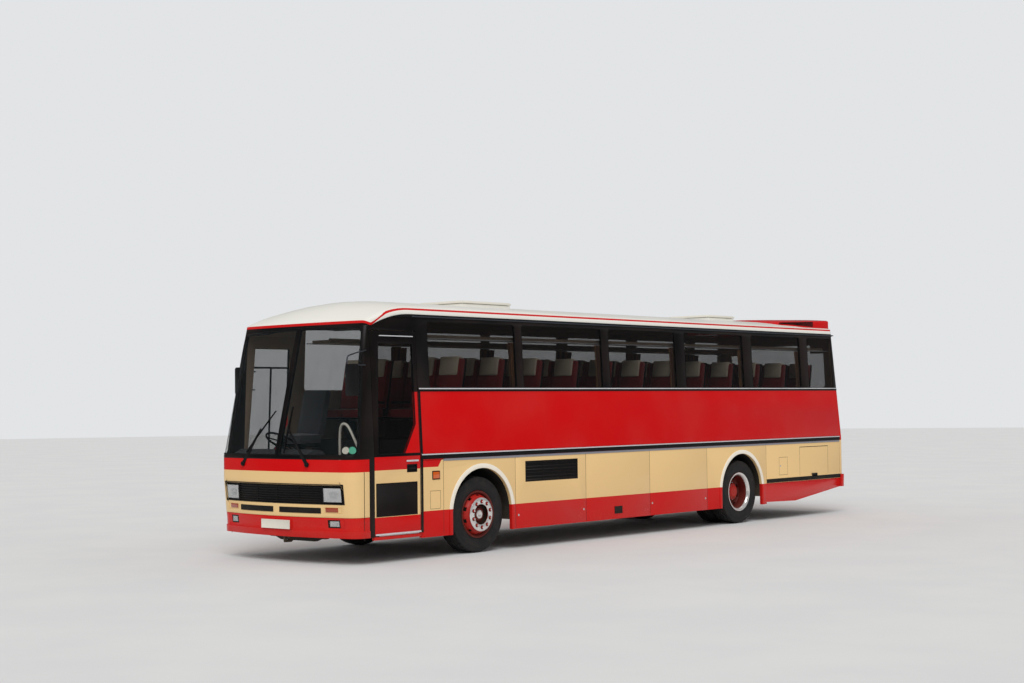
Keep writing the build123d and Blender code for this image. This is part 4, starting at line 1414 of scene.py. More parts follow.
@dataclass
class Windows:
    """All the glass, with the seals that hold it."""

    finishes: Finishes
    rows: tuple[tuple[float, float], ...] = (
        (-4.39, -2.69), (-2.55, -0.80), (-0.635, 1.02), (1.26, 2.88), (3.13, 4.62), (4.86, 5.64),
    )
    bottom: float = 2.15
    top: float = 3.0

    def seal(self, outline: Profile) -> Piece:
        """Run a round rubber seal along an outline of y and z on the nearside."""
        points = [(SKIN.side(z) - 0.004, y, z) for y, z in outline]
        return tube("seal", [*points, points[0], points[1]], 0.006, False, 1)

    def side_seals(self) -> None:
        """Seals of the side windows, with cut corners."""
        seals = []
        y_cut, z_low, z_high = 0.03, self.bottom + 0.03, self.top - 0.03
        for y0, y1 in self.rows:
            foot = [(y0 + y_cut, self.bottom), (y1 - y_cut, self.bottom), (y1, z_low), (y1, z_high)]
            head = [(y1 - y_cut, self.top), (y0 + y_cut, self.top), (y0, z_high), (y0, z_low)]
            seals.append(self.seal(foot + head))
        settle(coat(joined("window_seals", both_sides(seals)), self.finishes.rubber), Slot.PLASTIC)

    def cab_seals(self) -> None:
        """Seals of the entry door's glass and the driver's side window, with its two bars."""
        rubber = self.finishes.rubber
        outline = ((-5.345, 1.335), (-4.88, 1.335), (-4.67, 1.70), (-4.67, 2.705), (-5.265, 2.705))
        door = coat(self.seal(outline), rubber)
        cab = [copied(door, MIRROR)]
        for low, high, cuts in (
            ((-0.022, -5.29, 2.442), (-0.010, -4.69, 2.467), ()),
            ((-0.022, -4.985, 1.345), (-0.010, -4.957, 2.45), ((2, 9),)),
        ):
            cab.append(moved(on_side(block("bar", low, high, 0.004, cuts), rubber), MIRROR))
        settle(joined("door_glass_seal", [door]), Slot.PLASTIC, body="entry_door")
        settle(joined("cab_glass_seal", cab), Slot.PLASTIC)

    def build(self) -> None:
        """Dress the panes and add their seals."""
        self.windscreen()
        for node in ("side_glass", "entry_door_glass", "rear_window"):
            item = coat(taken_over(node, node + "_pane"), self.finishes.tinted, 20.0)
            settle(item, Slot.GLASS, node)
        self.side_seals()
        self.cab_seals()
        self.windscreen_seal()
        self.discs()

    def windscreen(self) -> None:
        """Curved glass of both halves, wrapping round the corners."""
        pick()
        bpy.ops.mesh.primitive_grid_add(x_subdivisions=32, y_subdivisions=10, size=1.0)
        item = bpy.context.object
        for vertex in item.data.vertices:
            vertex.co = SCREEN.point(vertex.co.x + 0.5, vertex.co.y + 0.5, 0.006)
        finish_modifier(item, "SOLIDIFY", thickness=0.006, offset=-1.0)
        item = joined("windscreen_pane", both_sides([item]))
        settle(coat(item, self.finishes.windscreen, 20.0), Slot.GLASS, "windscreen")

    def windscreen_seal(self) -> None:
        """Rubber seal round each half of the windscreen."""
        across = [step / 20 for step in range(21)]
        points = [SCREEN.point(share, 0.0, 0.004) for share in across]
        points += [SCREEN.point(1.0, step / 10, 0.004) for step in range(1, 10)]
        points += [SCREEN.point(share, 1.0, 0.004) for share in reversed(across)]
        item = tube("windscreen_seal", [*points, points[0], points[1]], 0.009, False, 1)
        item = joined("windscreen_seal", both_sides([item]))
        settle(coat(item, self.finishes.rubber), Slot.PLASTIC)

    def discs(self) -> None:
        """Two plain round discs low on the windscreen."""
        height = 1.396
        _, half, _, _, corner, _ = SKIN.row(height)
        for name, x, material in (
            ("white_windscreen_disc", 1.126, self.finishes.white_plate),
            ("teal_windscreen_disc", 1.200, self.finishes.teal),
        ):
            disc = turned(name, ((-0.0006, 0.042), (-0.0006, 0.045), (0.0006, 0.045), (0.0006, 0.0)), 24)
            turn = math.asin((x - half + corner) / corner)
            spin = Matrix.Rotation(turn, 4, "Z") @ rotation(-13.5, "X") @ rotation(-90, "Z")
            sunk = Vector((-math.sin(turn), math.cos(turn), 0)) * 0.018
            place = Matrix.Translation(Vector((x, SKIN.front(x, height), height)) + sunk)
            settle(coat(moved(disc, place @ spin), material), Slot.WHITE)


@dataclass
class FrontFace:
    """Grille, headlamps, front lamps, plate, wipers and mirrors."""

    finishes: Finishes
    half: float = 1.112
    low: float = 0.738
    high: float = 0.986
    slats: int = 7
    slat_pitch: float = 0.0297
    ribs: tuple[float, ...] = (-0.39, 0.0, 0.39)
    air_bars: int = 3

    def grille(self) -> None:
        """Black surround with slats, and an upright at each lamp."""
        low, high = self.low, self.high
        surround = (-self.half, -0.0035, low), (self.half, 0.036, high)
        parts = [tray("surround", *surround, 0.011, (0, 0.026, 0), 0.0, ((0, 44),))]
        for index in range(self.slats):
            z = low + 0.028 + index * self.slat_pitch
            slat = block("slat", (-0.785, 0.006, z), (0.785, 0.024, z + 0.0085), 0.0, ((0, 30),))
            for vertex in slat.data.vertices:
                vertex.co.z -= 0.35 * (0.015 - vertex.co.y)
            parts.append(slat)
        for x in (-0.79, 0.79):
            parts.append(block("upright", (x - 0.008, 0.003, low + 0.008), (x + 0.008, 0.03, high - 0.008)))
        for x in self.ribs:
            parts.append(block("rib", (x - 0.004, 0.016, low + 0.01), (x + 0.004, 0.03, high - 0.01)))
        for part in parts:
            SKIN.wrap_front(part)
            round_edges(part, 0.0018)
            coat(part, self.finishes.plastic)
        settle(SKIN.tuck(joined("grille_with_slats", parts)), Slot.PLASTIC, "front_grille")

    def lamp(self, left: float, right: float, low: float, high: float, sink: float, flutes: int) -> Piece:
        """Build a clear rectangular lamp: case, bowl, bulb and fluted lens.

        Args:
            left: Where it starts across the front.
            right: Where it ends.
            low: Bottom height.
            high: Top height.
            sink: How far the lens sits in from the skin.
            flutes: Number of upright flutes in the lens.

        Returns:
            The lamp on the nearside.
        """
        shades = self.finishes
        middle_x, middle_z = (left + right) / 2, (low + high) / 2

        def corners(margin: float, near: float, far: float) -> tuple[Point, Point]:
            """Return the corners of a box inside the lamp's edges."""
            return (left + margin, sink + near, low + margin), (right - margin, sink + far, high - margin)

        case = tray("case", *corners(0.0, 0.0, 0.03), 0.006, (0, 0.022, 0), 0.0, ((0, 8),))
        bowl = block("bowl", *corners(0.007, 0.004, 0.026), 0.0, ((0, 8), (2, 5)))
        for vertex in bowl.data.vertices:
            if vertex.co.y < sink + 0.01:
                across = (vertex.co.x - middle_x) / (right - left) * 2
                up = (vertex.co.z - middle_z) / (high - low) * 2
                vertex.co.y += 0.019 * max(0.0, 1 - max(across * across, up * up) ** 1.5)
        bulb = turned("bulb", ((0.0, 0.011), (0.005, 0.0105), (0.009, 0.007), (0.0105, 0.0)), 20)
        socket = at(middle_x, SKIN.front(middle_x, middle_z) + sink + 0.019, middle_z)
        moved(bulb, socket @ rotation(-90, "Z"))
        margin = 0.005
        lens = block("lens", *corners(margin, -0.001, 0.002), 0.0, ((0, flutes * 2 - 1), (2, 5)))
        pitch = (right - left - 2 * margin) / (flutes * 2)
        for vertex in lens.data.vertices:
            column = round((vertex.co.x - left - margin) / pitch)
            rim = min(vertex.co.z - low, high - vertex.co.z, vertex.co.x - left, right - vertex.co.x)
            vertex.co.y -= (0.0012 if column % 2 else 0.0) + (0.002 if rim > 0.012 else 0.0)
        parts = [on_front(case, shades.plastic), on_front(bowl, shades.chrome, 60)]
        parts += [coat(bulb, shades.bright), on_front(lens, shades.clear_lens, 50)]
        return joined("lamp", parts)

    def lamps(self) -> None:
        """Headlamps in the grille panel, and fog lamps, indicators and side markers."""
        shades = self.finishes
        head = self.lamp(0.797, 1.073, 0.765, 0.943, 0.002, 16)
        pair = joined("headlamp_pair", [head, copied(head, MIRROR)])
        settle(SKIN.tuck(pair), Slot.LAMP, "headlamps")
        wide = ((0, 6),)
        fog_box = tray("fog_box", (0.843, 0.0, 0.458), (1.018, 0.036, 0.549), 0.005, (0, 0.03, 0), 0.0, wide)
        filler = block("fog_filler", (1.018, 0.0, 0.4545), (1.0805, 0.03, 0.5525), 0.001, ((0, 3),))
        rim = tray("rim", (0.802, -0.003, 0.637), (1.060, 0.034, 0.708), 0.004, (0, 0.004, 0), 0.0, wide)
        indicator = block("indicator", (0.824, -0.006, 0.647), (1.006, 0.03, 0.700), 0.004, wide)
        bezel = tray("bezel", (-0.002, -4.397, 0.993), (0.006, -4.263, 1.097), 0.006, (-0.004, 0, 0))
        marker = block("marker", (-0.01, -4.388, 1.002), (0.009, -4.272, 1.088), 0.005, segments=3)
        parts = [
            on_front(fog_box, shades.plastic), on_front(filler, shades.bumper),
            self.lamp(0.862, 1.006, 0.466, 0.543, 0.003, 9),
            on_front(indicator, shades.dark_amber_lens), on_front(rim, shades.mask),
            on_side(bezel, shades.plastic), on_side(marker, shades.amber_lens),
        ]
        lamps = joined("front_and_side_lamps", both_sides(parts))
        settle(SKIN.tuck(lamps), Slot.AMBER, "signal_lamps")

    def slots_and_plate(self) -> None:
        """Dark inserts of the two air slots and the blank front plate."""
        wide = ((0, 14),)
        low, high = (0.059, -0.005, 0.629), (0.751, 0.021, 0.697)
        parts = [tray("air_slot", low, high, 0.003, (0, 0.004, 0), 0.0, wide)]
        for index in range(self.air_bars):
            z = 0.642 + index * 0.0185
            parts.append(block("slot_bar", (0.064, -0.004, z), (0.746, 0.0, z + 0.005), 0.0, wide))
        for part in parts:
            on_front(part, self.finishes.plastic)
        settle(SKIN.tuck(joined("air_slot_inserts", both_sides(parts))), Slot.PLASTIC)
        low, high = (-0.266, -5.9185, 0.424), (0.266, -5.9152, 0.535)
        plate = tray("front_plate", low, high, 0.004, (0, 0.001, 0), 0.0008)
        settle(coat(plate, self.finishes.white_plate), Slot.WHITE)

    def wiper(self, spindle: Point, elbow: Point, foot: Point, tip: Point) -> list[Piece]:
        """Build one wiper.

        Args:
            spindle: Where it turns.
            elbow: Where its arm holds the blade.
            foot: Lower end of the blade.
            tip: Upper end of the blade.

        Returns:
            Its parts.
        """
        shades = self.finishes
        cap = turned("cap", ((-0.012, 0.03), (0.0, 0.031), (0.016, 0.026), (0.024, 0.016), (0.026, 0.0)), 24)
        moved(cap, at(*spindle) @ rotation(-90, "Z"))
        arm = bar("arm", spindle, elbow, 0.050, 0.014, 0.56, 0.003)
        back, lift = Vector((0, 0.010, 0.002)), Vector((0, -0.008, -0.002))
        rubber = bar("blade_rubber", Vector(foot) + back, Vector(tip) + back, 0.006, 0.016, 1.0, 0.0015)
        spine = bar("blade_spine", foot, tip, 0.014, 0.006, 1.0, 0.002)
        middle, reach = (Vector(foot) + Vector(tip)) / 2, (Vector(tip) - Vector(foot)) / 4
        arch = [
            middle - reach * 1.4, middle - reach + lift, middle + lift * 1.6,
            middle + reach + lift, middle + reach * 1.4,
        ]
        bridge = tube("bridge", arch, 0.0045, True, 1)
        parts = [coat(cap, shades.plastic), coat(arm, shades.plastic), coat(rubber, shades.rubber)]
        return parts + [coat(spine, shades.plastic), coat(bridge, shades.plastic)]

    def wipers(self) -> None:
        """Two wipers with their blades beside the middle bar."""

        def on_glass(x: float, z: float, lift: float) -> Point:
            """Return a point in front of the windscreen."""
            return (x, SKIN.front(x, z) - lift, z)

        parts = []
        for points in (
            ((0.552, 1.22, 0.012), (0.16, 1.66, 0.030), (0.145, 1.36, 0.022), (0.17, 1.93, 0.022)),
            ((-0.664, 1.217, 0.012), (-0.36, 1.66, 0.030), (-0.60, 1.36, 0.022), (-0.14, 1.88, 0.022)),
        ):
            parts += self.wiper(*(on_glass(*point) for point in points))
        settle(joined("wiper_pair", parts), Slot.PLASTIC, "wipers")

    def mirror(self, low: Point, high: Point, arms: Sequence[Sequence[Point]]) -> list[Piece]:
        """Build a door mirror.

        Args:
            low: Lowest corner of its shell.
            high: Highest corner.
            arms: The line of each arm.

        Returns:
            The shell, the glass towards the rear, and the arms.
        """
        shades = self.finishes

        def inset(x: float, z: float) -> tuple[float, float]:
            """Return how far a point is inside the shell across and in height."""
            return min(x - low[0], high[0] - x), min(z - low[2], high[2] - z)

        def corner(start: Vector, end: Vector) -> bool:
            """Pick the four long corner edges of the shell."""
            along = abs(start.x - end.x) < NEAR and abs(start.z - end.z) < NEAR
            return along and max(inset(start.x, start.z)) < NEAR

        shell = block("shell", low, high, 0.0, ((0, 2), (2, 4)))
        for vertex in shell.data.vertices:
            if vertex.co.y < low[1] + NEAR and min(inset(vertex.co.x, vertex.co.z)) < NEAR:
                vertex.co.y += 0.018
        choose_faces(shell, lambda centre, normal: normal.y > 0.9)
        bpy.ops.mesh.inset(thickness=0.012, depth=0.0)
        bpy.ops.mesh.extrude_region_move(TRANSFORM_OT_translate={"value": (0, -0.007, 0)})
        close_edit()
        choose_edges(shell, corner)
        bpy.ops.mesh.bevel(offset=0.032, segments=4)
        close_edit()
        round_edges(shell, 0.006, 2)
        rim = 0.014
        near = (low[0] + rim, high[1] - 0.008, low[2] + rim)
        far = (high[0] - rim, high[1] - 0.004, high[2] - rim)
        glass = block("glass", near, far, 0.0012)
        parts = [coat(shell, shades.plastic, 50), coat(glass, shades.mirror_glass)]
        return parts + [coat(tube("arm", line, 0.0085), shades.anodised) for line in arms]

    def mirrors(self) -> None:
        """Both door mirrors."""
        head, foot = (1.292, -5.897, 2.52), (1.292, -5.897, 2.42)
        near = [
            [(1.150, -5.42, 2.622), (1.24, -5.70, 2.572), (1.29, -5.86, 2.540), head, foot],
            [(1.156, -5.42, 2.432), (1.24, -5.70, 2.430), (1.29, -5.875, 2.428), foot],
        ]
        far = [
            [(-1.165, -5.24, 2.40), (-1.25, -5.27, 2.405), (-1.32, -5.33, 2.40)],
            [(-1.185, -5.24, 2.16), (-1.25, -5.27, 2.165), (-1.32, -5.33, 2.16)],
        ]
        parts = self.mirror((1.274, -5.926, 2.054), (1.466, -5.872, 2.436), near)
        parts += self.mirror((-1.466, -5.366, 2.098), (-1.274, -5.312, 2.462), far)
        settle(joined("door_mirrors", parts), Slot.PLASTIC, "mirrors")

    def build(self) -> None:
        """Build the whole front."""
        self.grille()
        self.lamps()
        self.slots_and_plate()
        self.wipers()
        self.mirrors()


@dataclass
class SideFittings:
    """Vents, locks, door furniture and small hatches on the sides."""

    finishes: Finishes
    vent: tuple[float, float, float, float] = (-2.59, -1.475, 0.89, 1.16)
    louvres: int = 13
    gap: float = 0.004
    flap_gaps: tuple[tuple[float, float], ...] = (
        (-2.80, 0.29), (-1.29, 0.29), (0.22, 0.29), (1.71, 0.29), (3.40, 0.68),
    )

    def handed(self, name: str, parts: list[Piece], body: str, slot: Slot) -> None:
        """Join parts made for the nearside and put a mirrored copy on the offside."""
        item = joined(name + "_left", parts)
        twin = copied(item, MIRROR, name + "_right")
        settle(item, slot, body=body.format("left"))
        settle(twin, slot, body=body.format("right"))

    def vents(self) -> None:
        """Louvred panel in the vent flap."""
        y0, y1, z0, z1 = self.vent
        parts = [tray("vent_frame", (-0.013, y0, z0), (0.0015, y1, z1), 0.012, (-0.01, 0, 0), 0.0025)]
        for index in range(self.louvres):
            z = z0 + 0.02 + index * (z1 - z0 - 0.04) / (self.louvres - 1)
            blade = block("louvre", (-0.012, y0 + 0.01, z - 0.006), (-0.002, y1 - 0.01, z + 0.002))
            for vertex in blade.data.vertices:
                vertex.co.z += 0.6 * (-0.007 - vertex.co.x)
            round_edges(blade, 0.0008, 1)
            parts.append(blade)
        for y in (y0 + 0.37, y1 - 0.37):
            parts.append(block("stay", (-0.012, y - 0.006, z0 + 0.01), (-0.001, y + 0.006, z1 - 0.01), 0.001))
        for part in parts:
            on_side(part, self.finishes.rubber)
        self.handed("vent_grille", parts, "vent_flap_{}", Slot.PLASTIC)

    def lock(self, y: float, z: float = 0.45) -> list[Piece]:
        """Build a round key lock on the skin."""
        rings = (
            (-0.004, 0.015), (0.0015, 0.015), (0.0035, 0.0125),
            (0.004, 0.007), (0.0025, 0.006), (0.0025, 0.0),
        )
        face = moved(turned("lock", rings, 24), at(SKIN.side(z), y, z))
        slit = block("slit", (0.0022, y - 0.001, z - 0.005), (0.0034, y + 0.001, z + 0.005))
        return [coat(face, self.finishes.chrome), on_side(slit, self.finishes.rubber)]

    def flap_fittings(self) -> None:
        """Locks, the recessed catch and the rear flap's rail and handle."""
        shades = self.finishes
        self.handed("vent_flap_locks", self.lock(-2.74) + self.lock(-1.345), "vent_flap_{}", Slot.BRIGHT)
        self.handed("locker_locks", self.lock(0.275) + self.lock(1.655), "locker_flap_mid_{}", Slot.BRIGHT)
        cup = tray("catch_cup", (-0.004, -0.64, 0.345), (0.0065, -0.46, 0.45), 0.008, (-0.005, 0, 0), 0.0015)
        parts = [cup]
        for z in (0.373, 0.398, 0.423):
            parts.append(block("catch_bar", (-0.003, -0.628, z - 0.004), (0.0045, -0.472, z + 0.004), 0.001))
        for part in parts:
            on_side(part, shades.plastic)
        self.handed("locker_catch", parts, "locker_flap_front_{}", Slot.PLASTIC)
        rail = block("rail", (0.0008, 3.405, 0.606), (0.0125, 5.744, 0.671), 0.003)
        grip = tray("grip", (0.008, 4.80, 0.650), (0.02, 4.97, 0.715), 0.009, (-0.008, 0, 0), 0.003)
        parts = [on_side(rail, shades.rubber), on_side(grip, shades.plastic)]
        parts += self.outline(3.79, 4.05, 0.72, 1.01) + self.outline(4.43, 5.35, 0.66, 1.16)
        parts += self.groove(4.43, 5.35, 1.156, 1.166) + self.lock(3.83, 0.87)
        self.handed("rear_flap_rail", parts, "rear_flap_{}", Slot.PLASTIC)

    def groove(self, y0: float, y1: float, z0: float, z1: float, out: float = 0.0006) -> list[Piece]:
        """Build one dark line on the side, a touch proud of the skin."""
        line = block("groove", (-0.002, y0, z0), (out, y1, z1), 0.0002, segments=1)
        return [on_side(line, self.finishes.rubber)]

    def outline(self, y0: float, y1: float, z0: float, z1: float) -> list[Piece]:
        """Build the dark gap round a small flush hatch."""
        wide = self.gap
        lines = self.groove(y0, y1, z0, z0 + wide) + self.groove(y0, y1, z1 - wide, z1)
        return lines + self.groove(y0, y0 + wide, z0, z1) + self.groove(y1 - wide, y1, z0, z1)

    def side_lines(self) -> None:
        """Dark gaps between the fixed panels, the post strip and the rail under the waist."""
        lines = self.groove(-5.589, -5.580, 0.30, 1.13) + self.groove(-4.1975, -4.1925, 0.30, 1.22)
        lines += self.outline(-4.44, -4.25, 0.62, 0.85)
        for y, low in self.flap_gaps:
            seal = block("gap_seal", (-0.014, y - 0.0029, low), (-0.0015, y + 0.0029, 1.222))
            lines.append(on_side(seal, self.finishes.rubber))
        for low, high in ((0.34, 1.3), (1.3, 2.15)):
            lines += self.groove(-4.602, -4.564, low, high, 0.003)
        rail = block("rail", (-0.002, -4.195, 1.221), (0.005, 5.745, 1.250), 0.002)
        lines.append(on_side(rail, self.finishes.grey_rail))
        settle(joined("side_lines", both_sides(lines)), Slot.PLASTIC)
        sill = block("entry_sill", (-0.05, -5.415, 0.292), (0.0, -4.588, 0.332), 0.004, ((1, 4),))
        settle(on_side(sill, self.finishes.bumper), Slot.RED)

    def door(self) -> None:
        """Lower panel, handle, drip rail and bottom strip of the entry door, and its edge seals."""
        shades = self.finishes
        panel = tray("panel", (-0.008, -5.383, 0.574), (0.0015, -4.667, 0.980), 0.014, (-0.003, 0, 0), 0.0015)
        cup = tray("cup", (-0.021, -4.849, 1.102), (0.003, -4.671, 1.199), 0.009, (-0.019, 0, 0), 0.002)
        parts = [on_side(panel, shades.gloss_black), on_side(cup, shades.plastic)]
        for name, low, high, edge, material in (
            ("strip", (-0.002, -5.40, 0.347), (0.011, -4.612, 0.368), 0.004, shades.bright),
            ("handle_bar", (0.002, -4.865, 1.232), (0.018, -4.655, 1.254), 0.006, shades.bright),
            ("lever", (-0.012, -4.83, 1.135), (0.001, -4.69, 1.168), 0.005, shades.plastic),
            ("drip_rail", (0.001, -5.25, 2.79), (0.014, -4.66, 2.803), 0.004, shades.bright),
        ):
            parts.append(on_side(block(name, low, high, edge, segments=3), material))
        hold = [(1.17, -5.30, 2.16), (1.135, -5.30, 2.15), (1.135, -5.30, 1.95), (1.17, -5.30, 1.94)]
        parts.append(coat(tube("grab", hold, 0.009), shades.bright))
        settle(joined("door_furniture", parts), Slot.BRIGHT, body="entry_door")
        seals = []
        for y0, y1 in ((-5.4085, -5.4062), (-4.6062, -4.6025)):
            seals.append(on_side(block("seal", (-0.03, y0, 0.35), (-0.004, y1, 2.86)), shades.rubber))
        settle(joined("door_edge_seals", seals), Slot.PLASTIC)

    def build(self) -> None:
        """Build all the side fittings."""
        self.vents()
        self.flap_fittings()
        self.side_lines()
        self.door()


@dataclass
class RearFace:
    """Rear lamps, blank plate and boot handle."""

    finishes: Finishes
    near: float = 0.996
    far: float = 1.149
    ribs: int = 12

    def lamps(self) -> None:
        """Rear lamp clusters: a case with four ribbed lenses on each side."""
        shades = self.finishes
        case = tray("lamp_case", (0.987, -0.036, 0.802), (1.158, 0.002, 1.148), 0.006, (0, -0.008, 0), 0.002)
        parts = [on_rear(case, shades.plastic)]
        pitch = (self.far - self.near) / self.ribs
        for low, high, material in (
            (0.812, 0.874, shades.clear_lens), (0.878, 0.970, shades.red_lens),
            (0.974, 1.046, shades.amber_lens), (1.050, 1.138, shades.red_lens),
        ):
            cuts = ((0, self.ribs - 1),)
            lens = block("rear_lens", (self.near, -0.01, low), (self.far, 0.007, high), 0.0, cuts)
            for vertex in lens.data.vertices:
                column = round((vertex.co.x - self.near) / pitch)
                vertex.co.y += 0.001 if column % 2 and vertex.co.y > 0 else 0.0
            round_edges(lens, 0.002)
            parts.append(on_rear(lens, material))
        settle(joined("rear_lamp_clusters", both_sides(parts)), Slot.RED_LAMP, "rear_lamps")

    def build(self) -> None:
        """Build the rear fittings."""
        shades = self.finishes
        self.lamps()
        plate = tray("rear_plate", (-0.256, 5.9268, 0.504), (0.256, 5.9298, 0.612), 0.004, (0, -0.001, 0))
        settle(coat(plate, shades.yellow_plate), Slot.WHITE)
        grip = tray("boot_handle", (-0.16, -0.004, 0.70), (0.16, 0.014, 0.77), 0.012, (0, -0.01, 0), 0.003)
        lock = turned("boot_lock", ((-0.004, 0.016), (0.002, 0.016), (0.004, 0.012), (0.0045, 0.0)), 24)
        moved(lock, at(0, SKIN.rear(0.82), 0.82) @ rotation(90, "Z"))
        handle = joined("boot_handle", [on_rear(grip, shades.plastic), coat(lock, shades.chrome)])
        settle(handle, Slot.PLASTIC, body="boot_lid")


PAD_CUTS = ((0, 9), (1, 8), (2, 2))
BACK_CUTS = ((0, 9), (2, 11), (1, 2))


@dataclass
class Saloon:
    """Seats, curtains, driver's place and what shows through the glass."""

    finishes: Finishes
    rows: int = 12
    pitch: float = 0.79
    first: float = -3.95
    floor: float = 1.182
    plinth: float = 0.30
    places: tuple[float, float] = (0.46, 0.903)
    channels: tuple[float, float] = (-0.079, 0.079)
    driver_channels: tuple[float, float] = (-0.83, -0.63)
    curtain_rows: tuple[tuple[float, float], ...] = (
        (-2.79, -2.45), (-0.90, -0.54), (0.93, 1.35), (2.79, 3.22), (4.53, 4.95),
    )
    hem: float = 2.14
    heading: float = 2.765
    bulge: float = 0.022
    cloth_frames: int = 14

    def stuffed(
        self, name: str, low: Point, high: Point, cuts: Cuts, channels: Sequence[float]
    ) -> Piece:
        """Make a cushion that bulges between its seams.

        Args:
            name: The piece's name.
            low: Lowest corner.
            high: Highest corner.
            cuts: Axis number and number of cuts across that axis.
            channels: The x of each sewn channel.

        Returns:
            The cushion.
        """
        item = block(name, low, high, 0.0, cuts)
        seam = item.vertex_groups.new(name="seam")
        sewn = []
        for vertex in item.data.vertices:
            gaps = [min(abs(x - start), abs(x - end)) for x, start, end in zip(vertex.co, low, high)]
            on_edge = sum(gap < NEAR for gap in gaps) >= 2
            if on_edge or any(abs(vertex.co.x - x) < 0.004 for x in channels):
                sewn.append(vertex.index)
        seam.add(sewn, 1.0, "REPLACE")
        rest = [vertex.co.copy() for vertex in item.data.vertices]
        cloth = item.modifiers.new("stuffing", "CLOTH")
        cloth.settings.use_pressure = True
        cloth.settings.uniform_pressure_force = 6.0
        cloth.settings.effector_weights.gravity = 0.0
        cloth.settings.vertex_group_mass = "seam"
        cloth.settings.tension_stiffness = 6.0
        cloth.settings.compression_stiffness = 6.0
        cloth.settings.quality = 6
        cloth.point_cache.frame_start, cloth.point_cache.frame_end = 1, self.cloth_frames
        for step in range(1, self.cloth_frames + 1):
            bpy.context.scene.frame_set(step)
        pick(item)
        bpy.ops.object.modifier_apply(modifier=cloth.name)
        bpy.context.scene.frame_set(1)
        for vertex, start in zip(item.data.vertices, rest):
            shift = vertex.co - start
            if shift.length > self.bulge:
                vertex.co = start + shift.normalized() * self.bulge
        return item

    def passenger_seats(self) -> None:
        """Pairs of seats on both sides: cushions, frames, plinths, grab handles and head cloths."""
        shades = self.finishes
        pad = self.stuffed("pad", (-0.198, -0.21, 1.480), (0.198, 0.17, 1.580), PAD_CUTS, self.channels)
        back = self.stuffed("back", (-0.198, 0.0, 1.60), (0.198, 0.075, 2.25), BACK_CUTS, self.channels)
        board = block("board", (-0.214, 0.078, 1.50), (0.214, 0.10, 2.27), 0.008)
        base = block("base", (-0.21, -0.222, 1.455), (0.21, 0.19, 1.476), 0.006)
        hold = [(-0.10, 0.10, 2.24), (-0.10, 0.13, 2.285), (0.10, 0.13, 2.285), (0.10, 0.10, 2.24)]
        grab = tube("grab", hold, 0.011, True, 1)
        cover = block("cover", (-0.16, -0.026, 2.03), (0.16, 0.104, 2.276), 0.012, ((0, 3), (2, 2)))
        for part in (back, board, grab, cover):
            moved(part, at(0, 0.155, 1.6) @ rotation(-10.5, "X") @ at(0, 0, -1.6))
        rest = block("rest", (-0.018, -0.16, 1.655), (0.018, 0.17, 1.69), 0.010)
        leg = block("leg", (0.695, -0.115, self.floor), (0.765, 0.115, 1.47), 0.012, ((2, 3),))
        for vertex in leg.data.vertices:
            vertex.co.y *= 0.75 if 1.23 < vertex.co.z < 1.4 else 1.0
        beam = block("beam", (0.45, -0.05, 1.425), (0.915, 0.05, 1.455), 0.008)
        plinth = block("plinth", (0.215, -0.36, self.floor), (1.10, 0.41, self.floor + self.plinth), 0.01)
        models = (
            (pad, shades.moquette, 60), (back, shades.moquette, 60), (cover, shades.head_cloth, 60),
            (board, shades.plastic, 35), (base, shades.plastic, 35), (grab, shades.plastic, 35),
            (rest, shades.plastic, 35), (leg, shades.steel, 35), (beam, shades.steel, 35),
            (plinth, shades.floor, 35),
        )
        for part, material, angle in models:
            coat(part, material, angle)
        pads, frames, covers = [], [], []
        for row in range(self.rows):
            y = self.first + row * self.pitch
            for hand in Hand:
                for x in self.places:
                    place = at(hand.value * x, y, self.plinth)
                    pads += [copied(part, place) for part in (pad, back)]
                    frames += [copied(part, place) for part in (board, base, grab)]
                    covers.append(copied(cover, place))
                aisle = hand.value * (self.places[0] - 0.232 + 0.018)
                frames.append(copied(rest, at(aisle, y, self.plinth)))
                frames += [copied(part, at(0, y, self.plinth) @ hand.flip) for part in (leg, beam)]
                frames.append(copied(plinth, at(0, y, 0) @ hand.flip))
        for part, _, _ in models:
            bpy.data.objects.remove(part)
        cushions = settle(joined("seat_cushions", pads), Slot.MOQUETTE, "seats")
        settle(joined("seat_frames", frames), Slot.PLASTIC)
        settle(joined("head_cloths", covers), Slot.CURTAIN)

    def curtain(self, number: int, hand: Hand, y0: float, y1: float) -> Piece:
        """Make one pleated curtain.

        Args:
            number: Its number, which also varies its folds.
            hand: The side of the coach.
            y0: Where it starts along the coach.
            y1: Where it ends.

        Returns:
            The curtain, hanging just inside the glass.
        """
        pick()
        bpy.ops.mesh.primitive_grid_add(x_subdivisions=72, y_subdivisions=10, size=1.0)
        item = bpy.context.object
        item.name = f"curtain_{number}"
        pleats = round((y1 - y0) / 0.052)
        foot, head, margin = 1.140, 1.106, 0.01
        for vertex in item.data.vertices:
            along, up = vertex.co.x + 0.5, vertex.co.y + 0.5
            phase = along * pleats * 2 * math.pi + 0.5 * math.sin(along * 9 + number)
            swing = 0.0125 * (0.75 + 0.25 * math.sin(3 * along + number))
            drift = 0.006 * math.sin(along * 12.0 + number) * (1 - up)
            waist = math.sin(up * math.pi)
            share = along * (1 - 0.08 * waist) + 0.04 * waist
            vertex.co = (
                hand.value * (foot + (head - foot) * up + swing * math.sin(phase)),
                y0 + margin + (y1 - y0 - 2 * margin) * share + drift,
                self.hem + (self.heading - self.hem) * up,
            )
        return coat(item, self.finishes.curtain, 80)

